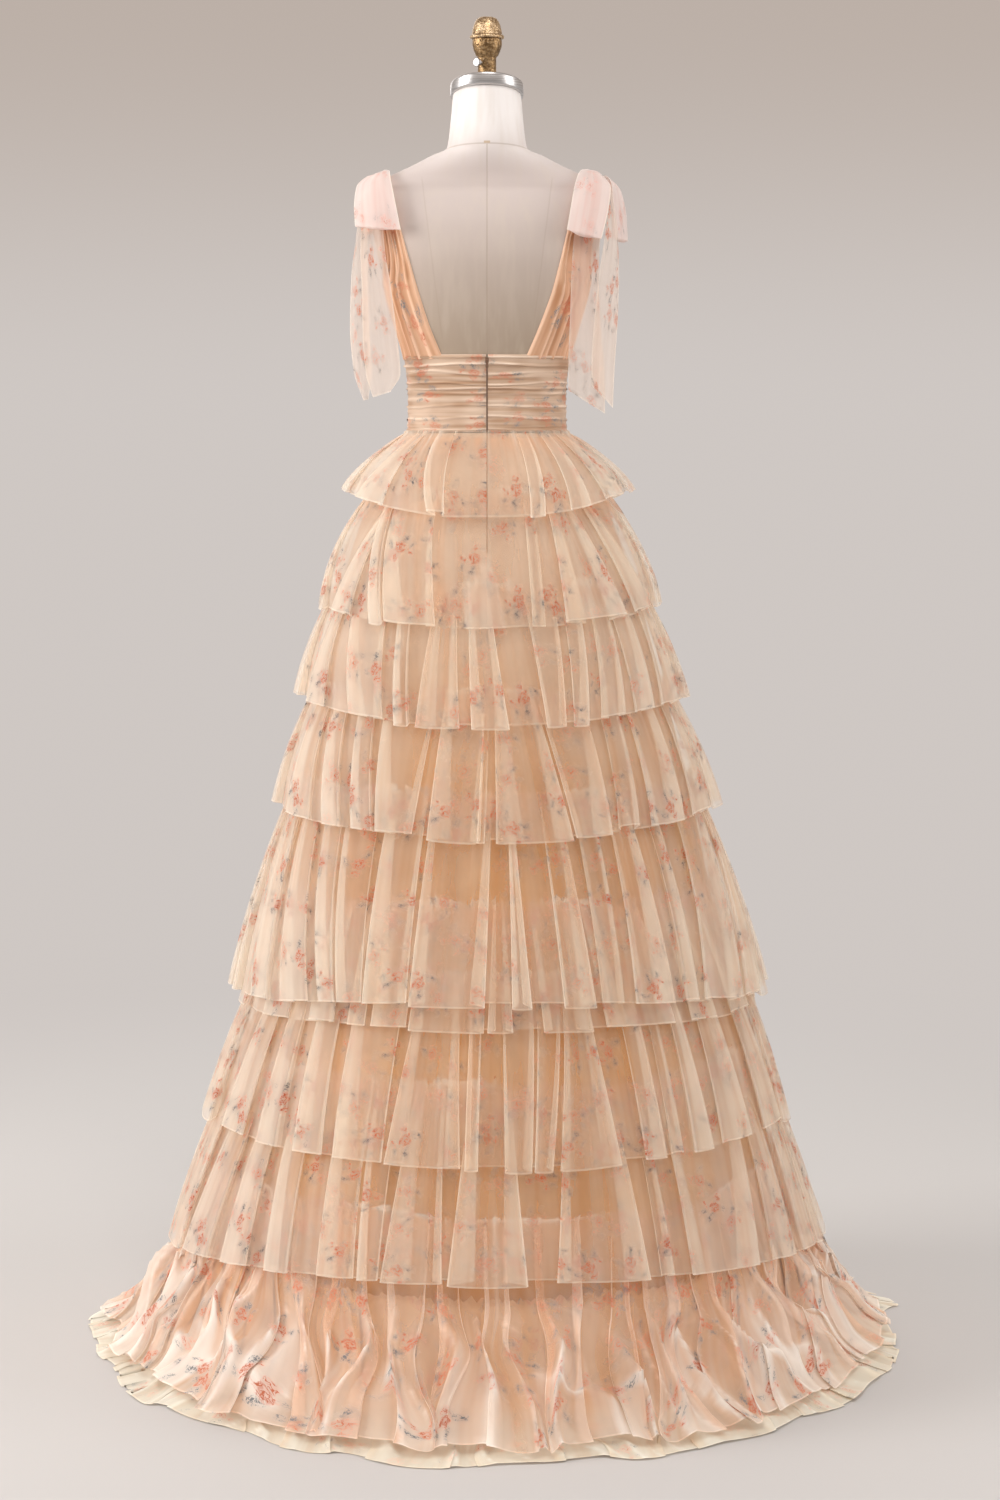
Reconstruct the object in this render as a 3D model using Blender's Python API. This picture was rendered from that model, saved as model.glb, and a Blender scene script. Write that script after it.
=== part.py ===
"""A floor-length prom dress of nine tulle tiers over a lining, with a short
train, a ruched waistband and straps tied in shoulder bows, standing on a
limbless dress form. Metres, +Z up. The form's pole is on the Z axis, the
garment's front faces -Y and the wearer's left is +X."""

import math

import bmesh
import bpy
from mathutils import Vector

for item in list(bpy.data.objects):
    bpy.data.objects.remove(item, do_unlink=True)

SEAM_GAP = 0.0003
HEADING_GAP = 0.0006
CLOTH_WALL = 0.0014
BAND_WALL = 0.0022
RING_STEPS = 52

# Padded form, up its height: half width, depth behind and before the pole,
# and how square the section is.
FORM_ROWS = (
    # height, half_width, back, front, squareness
    (0.985, 0.158, 0.108, 0.105, 2.3),
    (1.060, 0.168, 0.120, 0.112, 2.3),
    (1.130, 0.164, 0.120, 0.110, 2.3),
    (1.200, 0.146, 0.106, 0.098, 2.2),
    (1.250, 0.128, 0.090, 0.089, 2.2),
    (1.305, 0.1085, 0.0750, 0.081, 2.2),
    (1.345, 0.1085, 0.0725, 0.081, 2.2),
    (1.380, 0.1110, 0.0740, 0.085, 2.2),
    (1.413, 0.1170, 0.0795, 0.0925, 2.2),
    (1.455, 0.1290, 0.0870, 0.107, 2.3),
    (1.500, 0.1420, 0.0925, 0.119, 2.3),
    (1.545, 0.1540, 0.0950, 0.115, 2.3),
    (1.590, 0.1640, 0.0875, 0.095, 2.2),
    (1.625, 0.1710, 0.0700, 0.074, 2.2),
    (1.648, 0.1720, 0.0540, 0.054, 2.2),
    (1.665, 0.1400, 0.0525, 0.052, 2.2),
    (1.682, 0.1030, 0.0545, 0.053, 2.1),
    (1.694, 0.0800, 0.0560, 0.054, 2.0),
    (1.704, 0.0575, 0.0565, 0.055, 2.0),
    (1.740, 0.0520, 0.0510, 0.051, 2.0),
    (1.7775, 0.0485, 0.0475, 0.0475, 2.0),
)
FORM_STEPS = 28
SHOULDER_END = 1.648
NECK_TILT = 0.25

# Skirt lining: the cone that every tier is gathered onto.
LINING_ROWS = (
    # height, half_width, back, front
    (1.3022, 0.1135, 0.0800, 0.0860),
    (1.2700, 0.1310, 0.0980, 0.1030),
    (1.2140, 0.1680, 0.1360, 0.1330),
    (1.0870, 0.2120, 0.1820, 0.1650),
    (0.8080, 0.2800, 0.2720, 0.2180),
    (0.5700, 0.3260, 0.3490, 0.2540),
    (0.2665, 0.4050, 0.4850, 0.3070),
    (0.1650, 0.4280, 0.5200, 0.3250),
)

# The lining's three panels: steps of the ring from seam to seam.
LINING_PANELS = (
    # name, first, last
    ("skirt_lining_back_left", 0, 13),
    ("skirt_lining_back_right", 13, 26),
    ("skirt_lining_front", 26, 52),
)
LINING_SEAM = 0.0004

# The skirt's section loosens from the waist's squarish oval to a plain one.
SQUARE_ROWS = ((1.10, 2.0), (1.27, 2.2))

# The skirt hangs a little to the wearer's right lower down.
SWAY_ROWS = ((0.0, -0.015), (0.2, -0.012), (0.5, -0.018), (0.8, -0.012), (1.15, 0.0))

TIER_ROWS = (
    # name, heading, hem at side, hem at back, half width, back, front, flute, start
    ("tier_1", 1.3014, 1.2185, 1.186, 0.2055, 0.176, 0.168, 0.014, 0),
    ("tier_2", 1.2140, 1.0557, 1.034, 0.2440, 0.226, 0.200, 0.014, 3),
    ("tier_3", 1.0870, 0.9250, 0.904, 0.2810, 0.272, 0.230, 0.014, 7),
    ("tier_4", 0.9430, 0.7660, 0.755, 0.3210, 0.320, 0.257, 0.016, 2),
    ("tier_5", 0.8080, 0.4970, 0.545, 0.3870, 0.412, 0.301, 0.016, 9),
    ("tier_6", 0.6610, 0.4780, 0.510, 0.3730, 0.405, 0.290, 0.008, 5),
    ("tier_7", 0.5700, 0.3235, 0.340, 0.4220, 0.485, 0.322, 0.016, 12),
    ("tier_8", 0.4310, 0.1390, 0.205, 0.4730, 0.555, 0.358, 0.016, 6),
)

# The last tier and the layer under it fall to the floor and spread there.
TRAIN_ROWS = {
    # height, half_width, back, front, flute, rise of the folds
    "tier_9": (
        (0.2665, None, None, None, 0.000, 0.000),
        (0.1000, 0.4750, 0.6000, 0.3500, 0.010, 0.000),
        (0.0300, 0.5300, 0.6400, 0.3720, 0.008, 0.010),
        (0.0130, 0.5650, 0.6580, 0.3850, 0.010, 0.012),
    ),
    "train_underlayer": (
        (0.1660, None, None, None, 0.000, 0.000),
        (0.0600, 0.4800, 0.5800, 0.3450, 0.004, 0.000),
        (0.0080, 0.5450, 0.6300, 0.3780, 0.006, 0.000),
        (0.0013, 0.5900, 0.6760, 0.3980, 0.012, 0.000),
    ),
}

# Flutes of a tier in order round the skirt: steps of the ring and depth.
FLUTES = (
    (4, 1.0), (3, 0.6), (5, 0.9), (4, 0.7), (3, 1.0), (5, 0.8), (4, 0.5),
    (3, 0.9), (5, 1.0), (4, 0.6), (4, 0.9), (3, 0.7), (5, 0.8),
)

SLIT_HALF = 0.0019
ZIP_WIDTH = 0.0026
ZIP_DEPTH = 0.0016
ZIP_TOP = 1.3985
ZIP_BOTTOM = 1.1360

BAND_TOP = 1.4125
BAND_BOTTOM = 1.3030
BAND_LIFT_TOP = 0.0042
BAND_LIFT_BOTTOM = 0.0066
BAND_ROWS = 9
BAND_RUCHE = 0.0009

BODICE_LIFT = 0.0036
BODICE_GATHER = 0.0006

# Edges of the bodice panels up their height: nearest the centre, and at the
# side seam, where None follows the form's own side.
BODICE_BACK = {
    # height at centre edge, centre edge, height at side, side edge
    "left": (
        (1.4133, 0.0640, 1.4133, None),
        (1.4550, 0.0815, 1.4550, None),
        (1.5000, 0.0960, 1.5000, None),
        (1.5220, 0.1025, 1.5220, 0.1460),
        (1.5450, 0.1090, 1.5450, 0.1450),
        (1.5900, 0.1215, 1.5900, 0.1500),
        (1.6250, 0.1300, 1.6250, 0.1590),
        (1.6480, 0.1345, 1.6440, 0.1650),
        (1.6590, 0.1360, 1.6490, 0.1665),
        (None, 0.1370, None, 0.1680),
    ),
    "right": (
        (1.4133, 0.0560, 1.4133, None),
        (1.4550, 0.0745, 1.4550, None),
        (1.5000, 0.0910, 1.5000, None),
        (1.5220, 0.0970, 1.5220, 0.1460),
        (1.5450, 0.1030, 1.5450, 0.1450),
        (1.5900, 0.1140, 1.5900, 0.1500),
        (1.6250, 0.1250, 1.6250, 0.1590),
        (1.6480, 0.1310, 1.6440, 0.1650),
        (1.6600, 0.1335, 1.6490, 0.1665),
        (None, 0.1350, None, 0.1680),
    ),
}
BODICE_FRONT = (
    (1.4133, 0.0015, 1.4133, None),
    (1.4550, 0.0080, 1.4550, None),
    (1.5000, 0.0330, 1.5000, None),
    (1.5220, 0.0480, 1.5220, 0.1460),
    (1.5450, 0.0640, 1.5450, 0.1450),
    (1.5900, 0.0960, 1.5900, 0.1500),
    (1.6250, 0.1200, 1.6250, 0.1590),
    (1.6480, 0.1310, 1.6440, 0.1650),
    (1.6590, 0.1345, 1.6490, 0.1665),
    (None, 0.1370, None, 0.1680),
)

# Ribbons of the bows, along their length, both edges. A row that lies on the
# shoulder gives height None for its ridge, and its lift off the form.
ON, FREE = "on", "free"
BOW_ROWS = {
    # way, (x, y or lift, height) of the inner edge, the same of the outer edge
    "bow_left_back_loop": (
        (ON, (0.141, 0.0120, None), (0.165, 0.0125, None)),
        (FREE, (0.139, 0.020, 1.6735), (0.169, 0.018, 1.6640)),
        (FREE, (0.136, 0.050, 1.6580), (0.184, 0.040, 1.6480)),
        (FREE, (0.128, 0.074, 1.6200), (0.187, 0.056, 1.6200)),
        (FREE, (0.121, 0.088, 1.5850), (0.185, 0.064, 1.5920)),
        (FREE, (0.121, 0.080, 1.5860), (0.184, 0.055, 1.5930)),
        (FREE, (0.129, 0.068, 1.6200), (0.184, 0.049, 1.6200)),
        (ON, (0.142, 0.0125, 1.6530), (0.165, 0.0125, 1.6480)),
        (ON, (0.142, 0.0085, 1.6620), (0.164, 0.0085, 1.6510)),
    ),
    "bow_left_front_loop": (
        (FREE, (0.147, -0.0370, 1.6660), (0.168, -0.0370, 1.6570)),
        (FREE, (0.139, -0.056, 1.6600), (0.175, -0.052, 1.6500)),
        (FREE, (0.132, -0.078, 1.6320), (0.182, -0.064, 1.6260)),
        (FREE, (0.128, -0.096, 1.5900), (0.182, -0.074, 1.5880)),
        (FREE, (0.128, -0.088, 1.5900), (0.182, -0.066, 1.5880)),
        (FREE, (0.132, -0.070, 1.6280), (0.180, -0.056, 1.6220)),
        (FREE, (0.139, -0.049, 1.6510), (0.173, -0.044, 1.6430)),
        (ON, (0.145, 0.0074, 1.6470), (0.166, 0.0074, 1.6430)),
    ),
    "bow_left_wide_tail": (
        (ON, (0.142, 0.0066, 1.6610), (0.162, 0.0066, 1.6510)),
        (ON, (0.142, 0.0072, 1.6530), (0.165, 0.0072, 1.6480)),
        (FREE, (0.143, 0.043, 1.6420), (0.170, 0.031, 1.6380)),
        (FREE, (0.146, 0.054, 1.6000), (0.178, 0.041, 1.6000)),
        (FREE, (0.144, 0.060, 1.5650), (0.179, 0.049, 1.5600)),
        (FREE, (0.136, 0.064, 1.5120), (0.177, 0.055, 1.5000)),
        (FREE, (0.128, 0.066, 1.4500), (0.176, 0.057, 1.4350)),
        (FREE, (0.122, 0.066, 1.3860), (0.172, 0.056, 1.3860)),
        (FREE, (0.136, 0.064, 1.3600), (0.162, 0.057, 1.3520)),
    ),
    "bow_left_narrow_tail": (
        (ON, (0.1665, 0.0068, 1.6480), (0.1710, 0.0068, 1.6440)),
        (FREE, (0.166, 0.022, 1.6300), (0.180, 0.012, 1.6260)),
        (FREE, (0.170, 0.030, 1.5800), (0.187, 0.018, 1.5700)),
        (FREE, (0.170, 0.036, 1.5260), (0.193, 0.022, 1.5200)),
        (FREE, (0.168, 0.038, 1.4500), (0.195, 0.024, 1.4500)),
        (FREE, (0.165, 0.038, 1.3900), (0.190, 0.026, 1.3900)),
        (FREE, (0.170, 0.036, 1.3490), (0.176, 0.032, 1.3480)),
    ),
    "bow_right_back_loop": (
        (ON, (0.138, 0.0120, None), (0.162, 0.0125, None)),
        (FREE, (0.134, 0.020, 1.6740), (0.166, 0.018, 1.6640)),
        (FREE, (0.125, 0.056, 1.6550), (0.175, 0.044, 1.6480)),
        (FREE, (0.118, 0.080, 1.6200), (0.171, 0.062, 1.6150)),
        (FREE, (0.112, 0.095, 1.5850), (0.161, 0.078, 1.5730)),
        (FREE, (0.112, 0.087, 1.5860), (0.161, 0.069, 1.5750)),
        (FREE, (0.120, 0.074, 1.6200), (0.168, 0.056, 1.6160)),
        (ON, (0.138, 0.0125, 1.6550), (0.163, 0.0125, 1.6480)),
        (ON, (0.140, 0.0085, 1.6625), (0.162, 0.0085, 1.6520)),
    ),
    "bow_right_front_loop": (
        (ON, (0.166, 0.0120, None), (0.169, 0.0120, 1.6420)),
        (FREE, (0.179, 0.010, 1.6600), (0.176, -0.026, 1.6560)),
        (FREE, (0.195, 0.012, 1.6480), (0.190, -0.034, 1.6400)),
        (FREE, (0.202, 0.012, 1.6150), (0.198, -0.040, 1.6100)),
        (FREE, (0.204, 0.012, 1.5780), (0.200, -0.040, 1.5760)),
        (FREE, (0.196, 0.010, 1.5790), (0.192, -0.038, 1.5770)),
        (FREE, (0.194, 0.008, 1.6150), (0.190, -0.036, 1.6100)),
        (FREE, (0.187, 0.007, 1.6410), (0.182, -0.030, 1.6340)),
        (FREE, (0.179, 0.000, 1.6530), (0.178, -0.026, 1.6480)),
        (FREE, (0.1699, -0.014, 1.6620), (0.1705, -0.027, 1.6590)),
    ),
    "bow_right_inner_tail": (
        (ON, (0.139, 0.0066, 1.6630), (0.160, 0.0066, 1.6520)),
        (ON, (0.138, 0.0074, 1.6550), (0.162, 0.0074, 1.6480)),
        (FREE, (0.136, 0.047, 1.6440), (0.164, 0.034, 1.6400)),
        (FREE, (0.133, 0.056, 1.6300), (0.165, 0.039, 1.6280)),
        (FREE, (0.129, 0.062, 1.6080), (0.165, 0.045, 1.6050)),
        (FREE, (0.122, 0.073, 1.5700), (0.158, 0.056, 1.5650)),
        (FREE, (0.119, 0.077, 1.5200), (0.157, 0.061, 1.5100)),
        (FREE, (0.117, 0.077, 1.4600), (0.160, 0.063, 1.4500)),
        (FREE, (0.115, 0.075, 1.4040), (0.165, 0.064, 1.3950)),
        (FREE, (0.115, 0.073, 1.3620), (0.167, 0.064, 1.3290)),
    ),
    "bow_right_outer_tail": (
        (ON, (0.1655, 0.0068, 1.6490), (0.1710, 0.0068, 1.6440)),
        (FREE, (0.168, 0.031, 1.6320), (0.180, 0.020, 1.6280)),
        (FREE, (0.166, 0.055, 1.5850), (0.186, 0.042, 1.5800)),
        (FREE, (0.158, 0.068, 1.5300), (0.187, 0.055, 1.5250)),
        (FREE, (0.151, 0.073, 1.4600), (0.185, 0.062, 1.4550)),
        (FREE, (0.147, 0.074, 1.4000), (0.181, 0.064, 1.3900)),
        (FREE, (0.147, 0.074, 1.3690), (0.179, 0.064, 1.3370)),
    ),
}
KNOT_RADII = (0.0125, 0.0100, 0.0065)
KNOT_X = 0.154
KNOT_SEAT = 0.0008

CAP_RADIUS = 0.0520
CAP_BOTTOM = 1.7775
CAP_HEIGHT = 0.0175
STEM_ROWS = (
    # height, radius
    (1.7953, 0.0131),
    (1.8320, 0.0131),
    (1.8350, 0.0160),
    (1.8410, 0.0185),
    (1.8500, 0.0212),
    (1.8575, 0.0205),
)
DOME_ROWS = (
    (1.8578, 0.0225),
    (1.8590, 0.0245),
    (1.8625, 0.0240),
    (1.8640, 0.0215),
    (1.8760, 0.0190),
    (1.8850, 0.0150),
    (1.8888, 0.0080),
)
TURNED_STEPS = 24
SCREW_HEIGHT = 1.8240
SCREW_HEADING = math.radians(48.0)
SCREW_REACH = 0.0230
SCREW_HEAD = (0.0062, 0.0040)
SHANK_RADIUS = 0.0030
SHANK_ROOT = 0.0080
BORE_RADIUS = 0.0033

POLE_RADIUS = 0.0125
BASE_RADIUS = 0.165
BASE_ROWS = (
    # height, radius
    (0.0000, BASE_RADIUS),
    (0.0080, BASE_RADIUS),
    (0.0140, 0.1500),
    (0.0180, 0.0300),
    (0.0450, 0.0220),
)

SLIDER_SIZE = (0.0046, 0.0026, 0.0078)
SLIDER_CENTRE = 1.4040
PULL_LENGTH = 0.0110
BAR_RADIUS = 0.00045
EYE_BORE = 0.00075
EYE_RADIUS = 0.00125
POST_OFFSET = 0.0018
BAR_STANDOFF = 0.0019

COLOURS = {
    # name: red, green, blue, roughness, metallic
    "linen": (0.72, 0.63, 0.55, 0.85, 0.0),
    "tulle": (0.86, 0.62, 0.47, 0.80, 0.0),
    "tulle_pale": (0.90, 0.71, 0.62, 0.80, 0.0),
    "lining": (0.66, 0.42, 0.28, 0.70, 0.0),
    "zip_brown": (0.10, 0.055, 0.035, 0.55, 0.0),
    "steel": (0.62, 0.60, 0.60, 0.30, 1.0),
    "bronze": (0.42, 0.26, 0.13, 0.38, 1.0),
    "dark_iron": (0.05, 0.05, 0.05, 0.50, 1.0),
}


def row_at(rows, height):
    """The remaining columns of a table at this height, between its rows."""
    ordered = sorted(rows, key=lambda row: row[0])
    if height <= ordered[0][0]:
        return ordered[0][1:]
    for low, high in zip(ordered, ordered[1:]):
        if height <= high[0]:
            part = (height - low[0]) / (high[0] - low[0])
            return tuple(a + (b - a) * part for a, b in zip(low[1:], high[1:]))
    return ordered[-1][1:]


def sway(height):
    return row_at(SWAY_ROWS, height)[0]


def new_object(name, mesh, colour):
    red, green, blue, roughness, metallic = COLOURS[colour]
    material = bpy.data.materials.new(name + "_material")
    material.use_nodes = True
    shader = material.node_tree.nodes["Principled BSDF"]
    shader.inputs["Base Color"].default_value = (red, green, blue, 1.0)
    shader.inputs["Roughness"].default_value = roughness
    shader.inputs["Metallic"].default_value = metallic
    material.diffuse_color = (red, green, blue, 1.0)
    mesh.materials.append(material)
    made = bpy.data.objects.new(name, mesh)
    bpy.context.scene.collection.objects.link(made)
    return made


def mesh_object(name, points, faces, colour):
    mesh = bpy.data.meshes.new(name)
    mesh.from_pydata([tuple(point) for point in points], [], faces)
    shape = bmesh.new()
    shape.from_mesh(mesh)
    bmesh.ops.recalc_face_normals(shape, faces=shape.faces)
    shape.to_mesh(mesh)
    shape.free()
    return new_object(name, mesh, colour)


def loft(name, rings, colour):
    """A solid through closed rings, capped at both ends."""
    steps = len(rings[0])
    points = [point for ring in rings for point in ring]
    faces = []
    for level in range(len(rings) - 1):
        for step in range(steps):
            after = (step + 1) % steps
            low, high = level * steps, (level + 1) * steps
            faces.append((low + step, low + after, high + after, high + step))
    faces.append(tuple(range(steps - 1, -1, -1)))
    last = (len(rings) - 1) * steps
    faces.append(tuple(range(last, last + steps)))
    return mesh_object(name, points, faces, colour)


def turned(name, rows, colour, steps=TURNED_STEPS, foot_tilt=0.0):
    """A solid turned about the pole's axis; foot_tilt slopes its lowest ring."""
    rings = []
    for number, (height, radius) in enumerate(rows):
        slope = foot_tilt if number == 0 else 0.0
        ring = []
        for step in range(steps):
            angle = 2 * math.pi * step / steps
            x, y = radius * math.cos(angle), radius * math.sin(angle)
            ring.append((x, y, height + slope * y))
        rings.append(ring)
    return loft(name, rings, colour)


def normals_of(grid, closed):
    """Unit normals of a grid of points, rows by columns."""
    rows, columns = len(grid), len(grid[0])
    normals = []
    for r in range(rows):
        line = []
        for c in range(columns):
            if closed:
                before, after = grid[r][(c - 1) % columns], grid[r][(c + 1) % columns]
            else:
                before = grid[r][max(c - 1, 0)]
                after = grid[r][min(c + 1, columns - 1)]
            below, above = grid[max(r - 1, 0)][c], grid[min(r + 1, rows - 1)][c]
            line.append((after - before).cross(above - below).normalized())
        normals.append(line)
    return normals


def wall(name, grid, thickness, colour, closed=False):
    """Cloth of one thickness on a grid of points, closed into a ring or not."""
    normals = normals_of(grid, closed)
    rows, columns = len(grid), len(grid[0])
    points = []
    for side in (0.5, -0.5):
        for r in range(rows):
            for c in range(columns):
                points.append(grid[r][c] + normals[r][c] * thickness * side)
    half = rows * columns
    faces = []
    spans = columns if closed else columns - 1
    for r in range(rows - 1):
        for c in range(spans):
            a, b = r * columns + c, r * columns + (c + 1) % columns
            d, e = a + columns, b + columns
            faces.append((a, b, e))
            faces.append((a, e, d))
            faces.append((half + e, half + b, half + a))
            faces.append((half + d, half + e, half + a))
    for r in (0, rows - 1):
        for c in range(spans):
            a, b = r * columns + c, r * columns + (c + 1) % columns
            faces.append((a, half + a, half + b, b))
    if not closed:
        for c in (0, columns - 1):
            for r in range(rows - 1):
                a, d = r * columns + c, (r + 1) * columns + c
                faces.append((a, d, half + d, half + a))
    return mesh_object(name, points, faces, colour)


# The form's surface.

def form_section(height):
    return row_at(FORM_ROWS, height)


def form_gap(x, y, z):
    """Below zero inside the form, above zero outside it."""
    half, back, front, square = form_section(z)
    depth = back if y > 0 else front
    return (abs(x) / half) ** square + (abs(y) / depth) ** square - 1.0


def form_normal(point):
    x, y, z = point
    step = 0.0004
    slope = Vector((
        form_gap(x + step, y, z) - form_gap(x - step, y, z),
        form_gap(x, y + step, z) - form_gap(x, y - step, z),
        form_gap(x, y, z + step) - form_gap(x, y, z - step),
    ))
    return slope.normalized()


def ridge_height(x):
    """Height of the shoulder's ridge at this distance from the centre."""
    above = [row for row in FORM_ROWS if row[0] >= SHOULDER_END]
    for low, high in zip(above, above[1:]):
        if high[1] <= x <= low[1]:
            part = (low[1] - x) / (low[1] - high[1])
            return low[0] + (high[0] - low[0]) * part
    return SHOULDER_END


def form_turn(x, z):
    """The section's own angle at which the form is this far from the centre."""
    half, _, _, square = form_section(z)
    return math.acos(min(1.0, (x / half) ** (square / 2)))


def form_point(turn, z, way, lift):
    """A point of the form by its section angle, moved out by lift."""
    half, back, front, square = form_section(z)
    depth = back if way > 0 else front
    x = half * math.cos(turn) ** (2 / square)
    y = way * depth * math.sin(turn) ** (2 / square)
    point = Vector((x, y, z))
    return point + form_normal(point) * lift


def mirrored(points, side):
    return [Vector((side * p.x, p.y, p.z)) for p in points]


# Dress form.

def build_form():
    rings = []
    for number, (height, half, back, front, square) in enumerate(FORM_ROWS):
        tilt = NECK_TILT if number == len(FORM_ROWS) - 1 else 0.0
        ring = []
        for step in range(FORM_STEPS):
            angle = 2 * math.pi * step / FORM_STEPS
            across, deep = math.cos(angle), math.sin(angle)
            depth = back if deep > 0 else front
            x = math.copysign(half * abs(across) ** (2 / square), across)
            y = math.copysign(depth * abs(deep) ** (2 / square), deep)
            ring.append((x, y, height + tilt * y))
        rings.append(ring)
    loft("form_torso", rings, "linen")


def build_neck_cap():
    rings = []
    for radius, height in (
        (CAP_RADIUS, CAP_BOTTOM),
        (CAP_RADIUS, CAP_BOTTOM + CAP_HEIGHT - 0.0015),
        (CAP_RADIUS - 0.0020, CAP_BOTTOM + CAP_HEIGHT),
    ):
        ring = []
        for step in range(TURNED_STEPS):
            angle = 2 * math.pi * step / TURNED_STEPS
            x, y = radius * math.cos(angle), radius * math.sin(angle)
            ring.append((x, y, height + SEAM_GAP + NECK_TILT * y))
        rings.append(ring)
    loft("neck_cap", rings, "steel")


def along_screw(distance):
    out = Vector((math.cos(SCREW_HEADING), math.sin(SCREW_HEADING), 0.0))
    return out * distance + Vector((0.0, 0.0, SCREW_HEIGHT))


def rod(name, start, end, radii, colour, steps=16):
    """A straight rod; radii lists (part of the way, radius)."""
    along = end - start
    turn = along.to_track_quat("Z", "Y")
    rings = []
    for part, radius in radii:
        ring = []
        for step in range(steps):
            angle = 2 * math.pi * step / steps
            spoke = Vector((radius * math.cos(angle), radius * math.sin(angle), 0.0))
            ring.append(start + along * part + turn @ spoke)
        rings.append(ring)
    return loft(name, rings, colour)


def cut(target, cutter, operation="DIFFERENCE"):
    step = target.modifiers.new(operation.lower(), "BOOLEAN")
    step.operation = operation
    step.solver = "EXACT"
    step.object = cutter
    cutter.hide_render = True
    cutter.display_type = "WIRE"


def build_finial():
    rows = [(STEM_ROWS[0][0] + SEAM_GAP, STEM_ROWS[0][1]), *STEM_ROWS[1:]]
    stem = turned("finial_stem", rows, "bronze", foot_tilt=NECK_TILT)
    bore_start = along_screw(SHANK_ROOT - SEAM_GAP)
    bore = rod("finial_bore_cutter", bore_start, along_screw(0.03),
               ((0.0, BORE_RADIUS), (1.0, BORE_RADIUS)), "bronze")
    cut(stem, bore)
    turned("finial_cap", DOME_ROWS, "bronze")
    reach = SCREW_REACH - SHANK_ROOT
    under_head = (reach - SCREW_HEAD[1]) / reach
    rod("clamp_screw", along_screw(SHANK_ROOT), along_screw(SCREW_REACH), (
        (0.0, SHANK_RADIUS),
        (under_head, SHANK_RADIUS),
        (under_head + 0.01, SCREW_HEAD[0]),
        (0.95, SCREW_HEAD[0]),
        (1.0, SCREW_HEAD[0] * 0.8),
    ), "steel")


def build_stand():
    turned("stand_base", BASE_ROWS, "dark_iron", steps=32)
    top = FORM_ROWS[0][0] - SEAM_GAP
    foot = BASE_ROWS[-1][0] + SEAM_GAP
    rod("stand_pole", Vector((0, 0, foot)), Vector((0, 0, top)),
        ((0.0, POLE_RADIUS), (1.0, POLE_RADIUS)), "dark_iron")


# Skirt.

def skirt_point(angle, half, back, front, z):
    across, deep = math.cos(angle), math.sin(angle)
    power = 2 / row_at(SQUARE_ROWS, z)[0]
    depth = back if deep > 0 else front
    x = math.copysign(half * abs(across) ** power, across) + sway(z)
    return Vector((x, math.copysign(depth * abs(deep) ** power, deep), z))


def ring_angles():
    return [2 * math.pi * step / RING_STEPS for step in range(RING_STEPS)]


def slit_angles(half):
    """Ring angles with the centre back left open by the zip's slit."""
    edge = SLIT_HALF / half
    quarter = math.pi / 2
    inner = [quarter + 2 * math.pi * step / RING_STEPS for step in range(1, RING_STEPS)]
    return [quarter + edge, *inner, quarter + 2 * math.pi - edge]


def flute_wave(start):
    """How far each step of a ring stands out, from -1 to 1."""
    wave = []
    for run, depth in FLUTES:
        for step in range(run):
            wave.append(-depth * math.cos(2 * math.pi * step / run))
    return wave[start:] + wave[:start]


def outward(angle, half, depth):
    normal = Vector((math.cos(angle) / half, math.sin(angle) / depth, 0.0))
    return normal.normalized()


def lining_point(angle, z):
    """A point of the lining, straight between the rows that it is cut to."""
    for (top, *upper), (low, *lower) in zip(LINING_ROWS, LINING_ROWS[1:]):
        if z >= low:
            break
    part = (top - z) / (top - low)
    return skirt_point(angle, *upper, top).lerp(skirt_point(angle, *lower, low), part)


def on_lining(angle, z, lift=CLOTH_WALL + HEADING_GAP):
    """A point of a heading, lifted off the middle of the lining's cloth."""
    point = lining_point(angle, z)
    along = lining_point(angle + 0.01, z) - lining_point(angle - 0.01, z)
    normal = along.cross(lining_point(angle, z + 0.003) - point).normalized()
    return point + normal * lift


def build_lining():
    for name, first, last in LINING_PANELS:
        grid = []
        for height, half, back, front in reversed(LINING_ROWS):
            edge = LINING_SEAM / 2 / half
            angles = [2 * math.pi * step / RING_STEPS for step in range(first, last + 1)]
            angles[0] += edge
            angles[-1] -= edge
            grid.append([skirt_point(a, half, back, front, height) for a in angles])
        wall(name, grid, CLOTH_WALL, "lining")


def hem_row(angles, wave, side_z, back_z, half, back, front, flute, rise):
    line = []
    for angle, stand in zip(angles, wave):
        dip = max(0.0, math.sin(angle)) ** 1.5
        z = side_z + (back_z - side_z) * dip + rise * 0.5 * (1 + stand)
        depth = back if math.sin(angle) > 0 else front
        point = skirt_point(angle, half, back, front, z)
        line.append(point + outward(angle, half, depth) * flute * 0.5 * stand)
    return line


def build_tiers():
    for name, head, side_z, back_z, half, back, front, flute, start in TIER_ROWS:
        wave = flute_wave(start)
        slit = name == "tier_1"
        angles = ring_angles()
        if slit:
            angles = slit_angles(half)
            wave = wave + wave[:1]
        heading = [on_lining(angle, head) for angle in angles]
        if slit:
            for point, side in ((heading[0], -1), (heading[-1], 1)):
                point.x = side * SLIT_HALF
        hem = hem_row(angles, wave, side_z, back_z, half, back, front, flute, 0.004)
        made = wall(name, [hem, heading], CLOTH_WALL, "tulle", closed=not slit)
        if name == "tier_2":
            made.modifiers.new("triangles", "TRIANGULATE")
            cut(made, slit_cutter(head))


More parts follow.
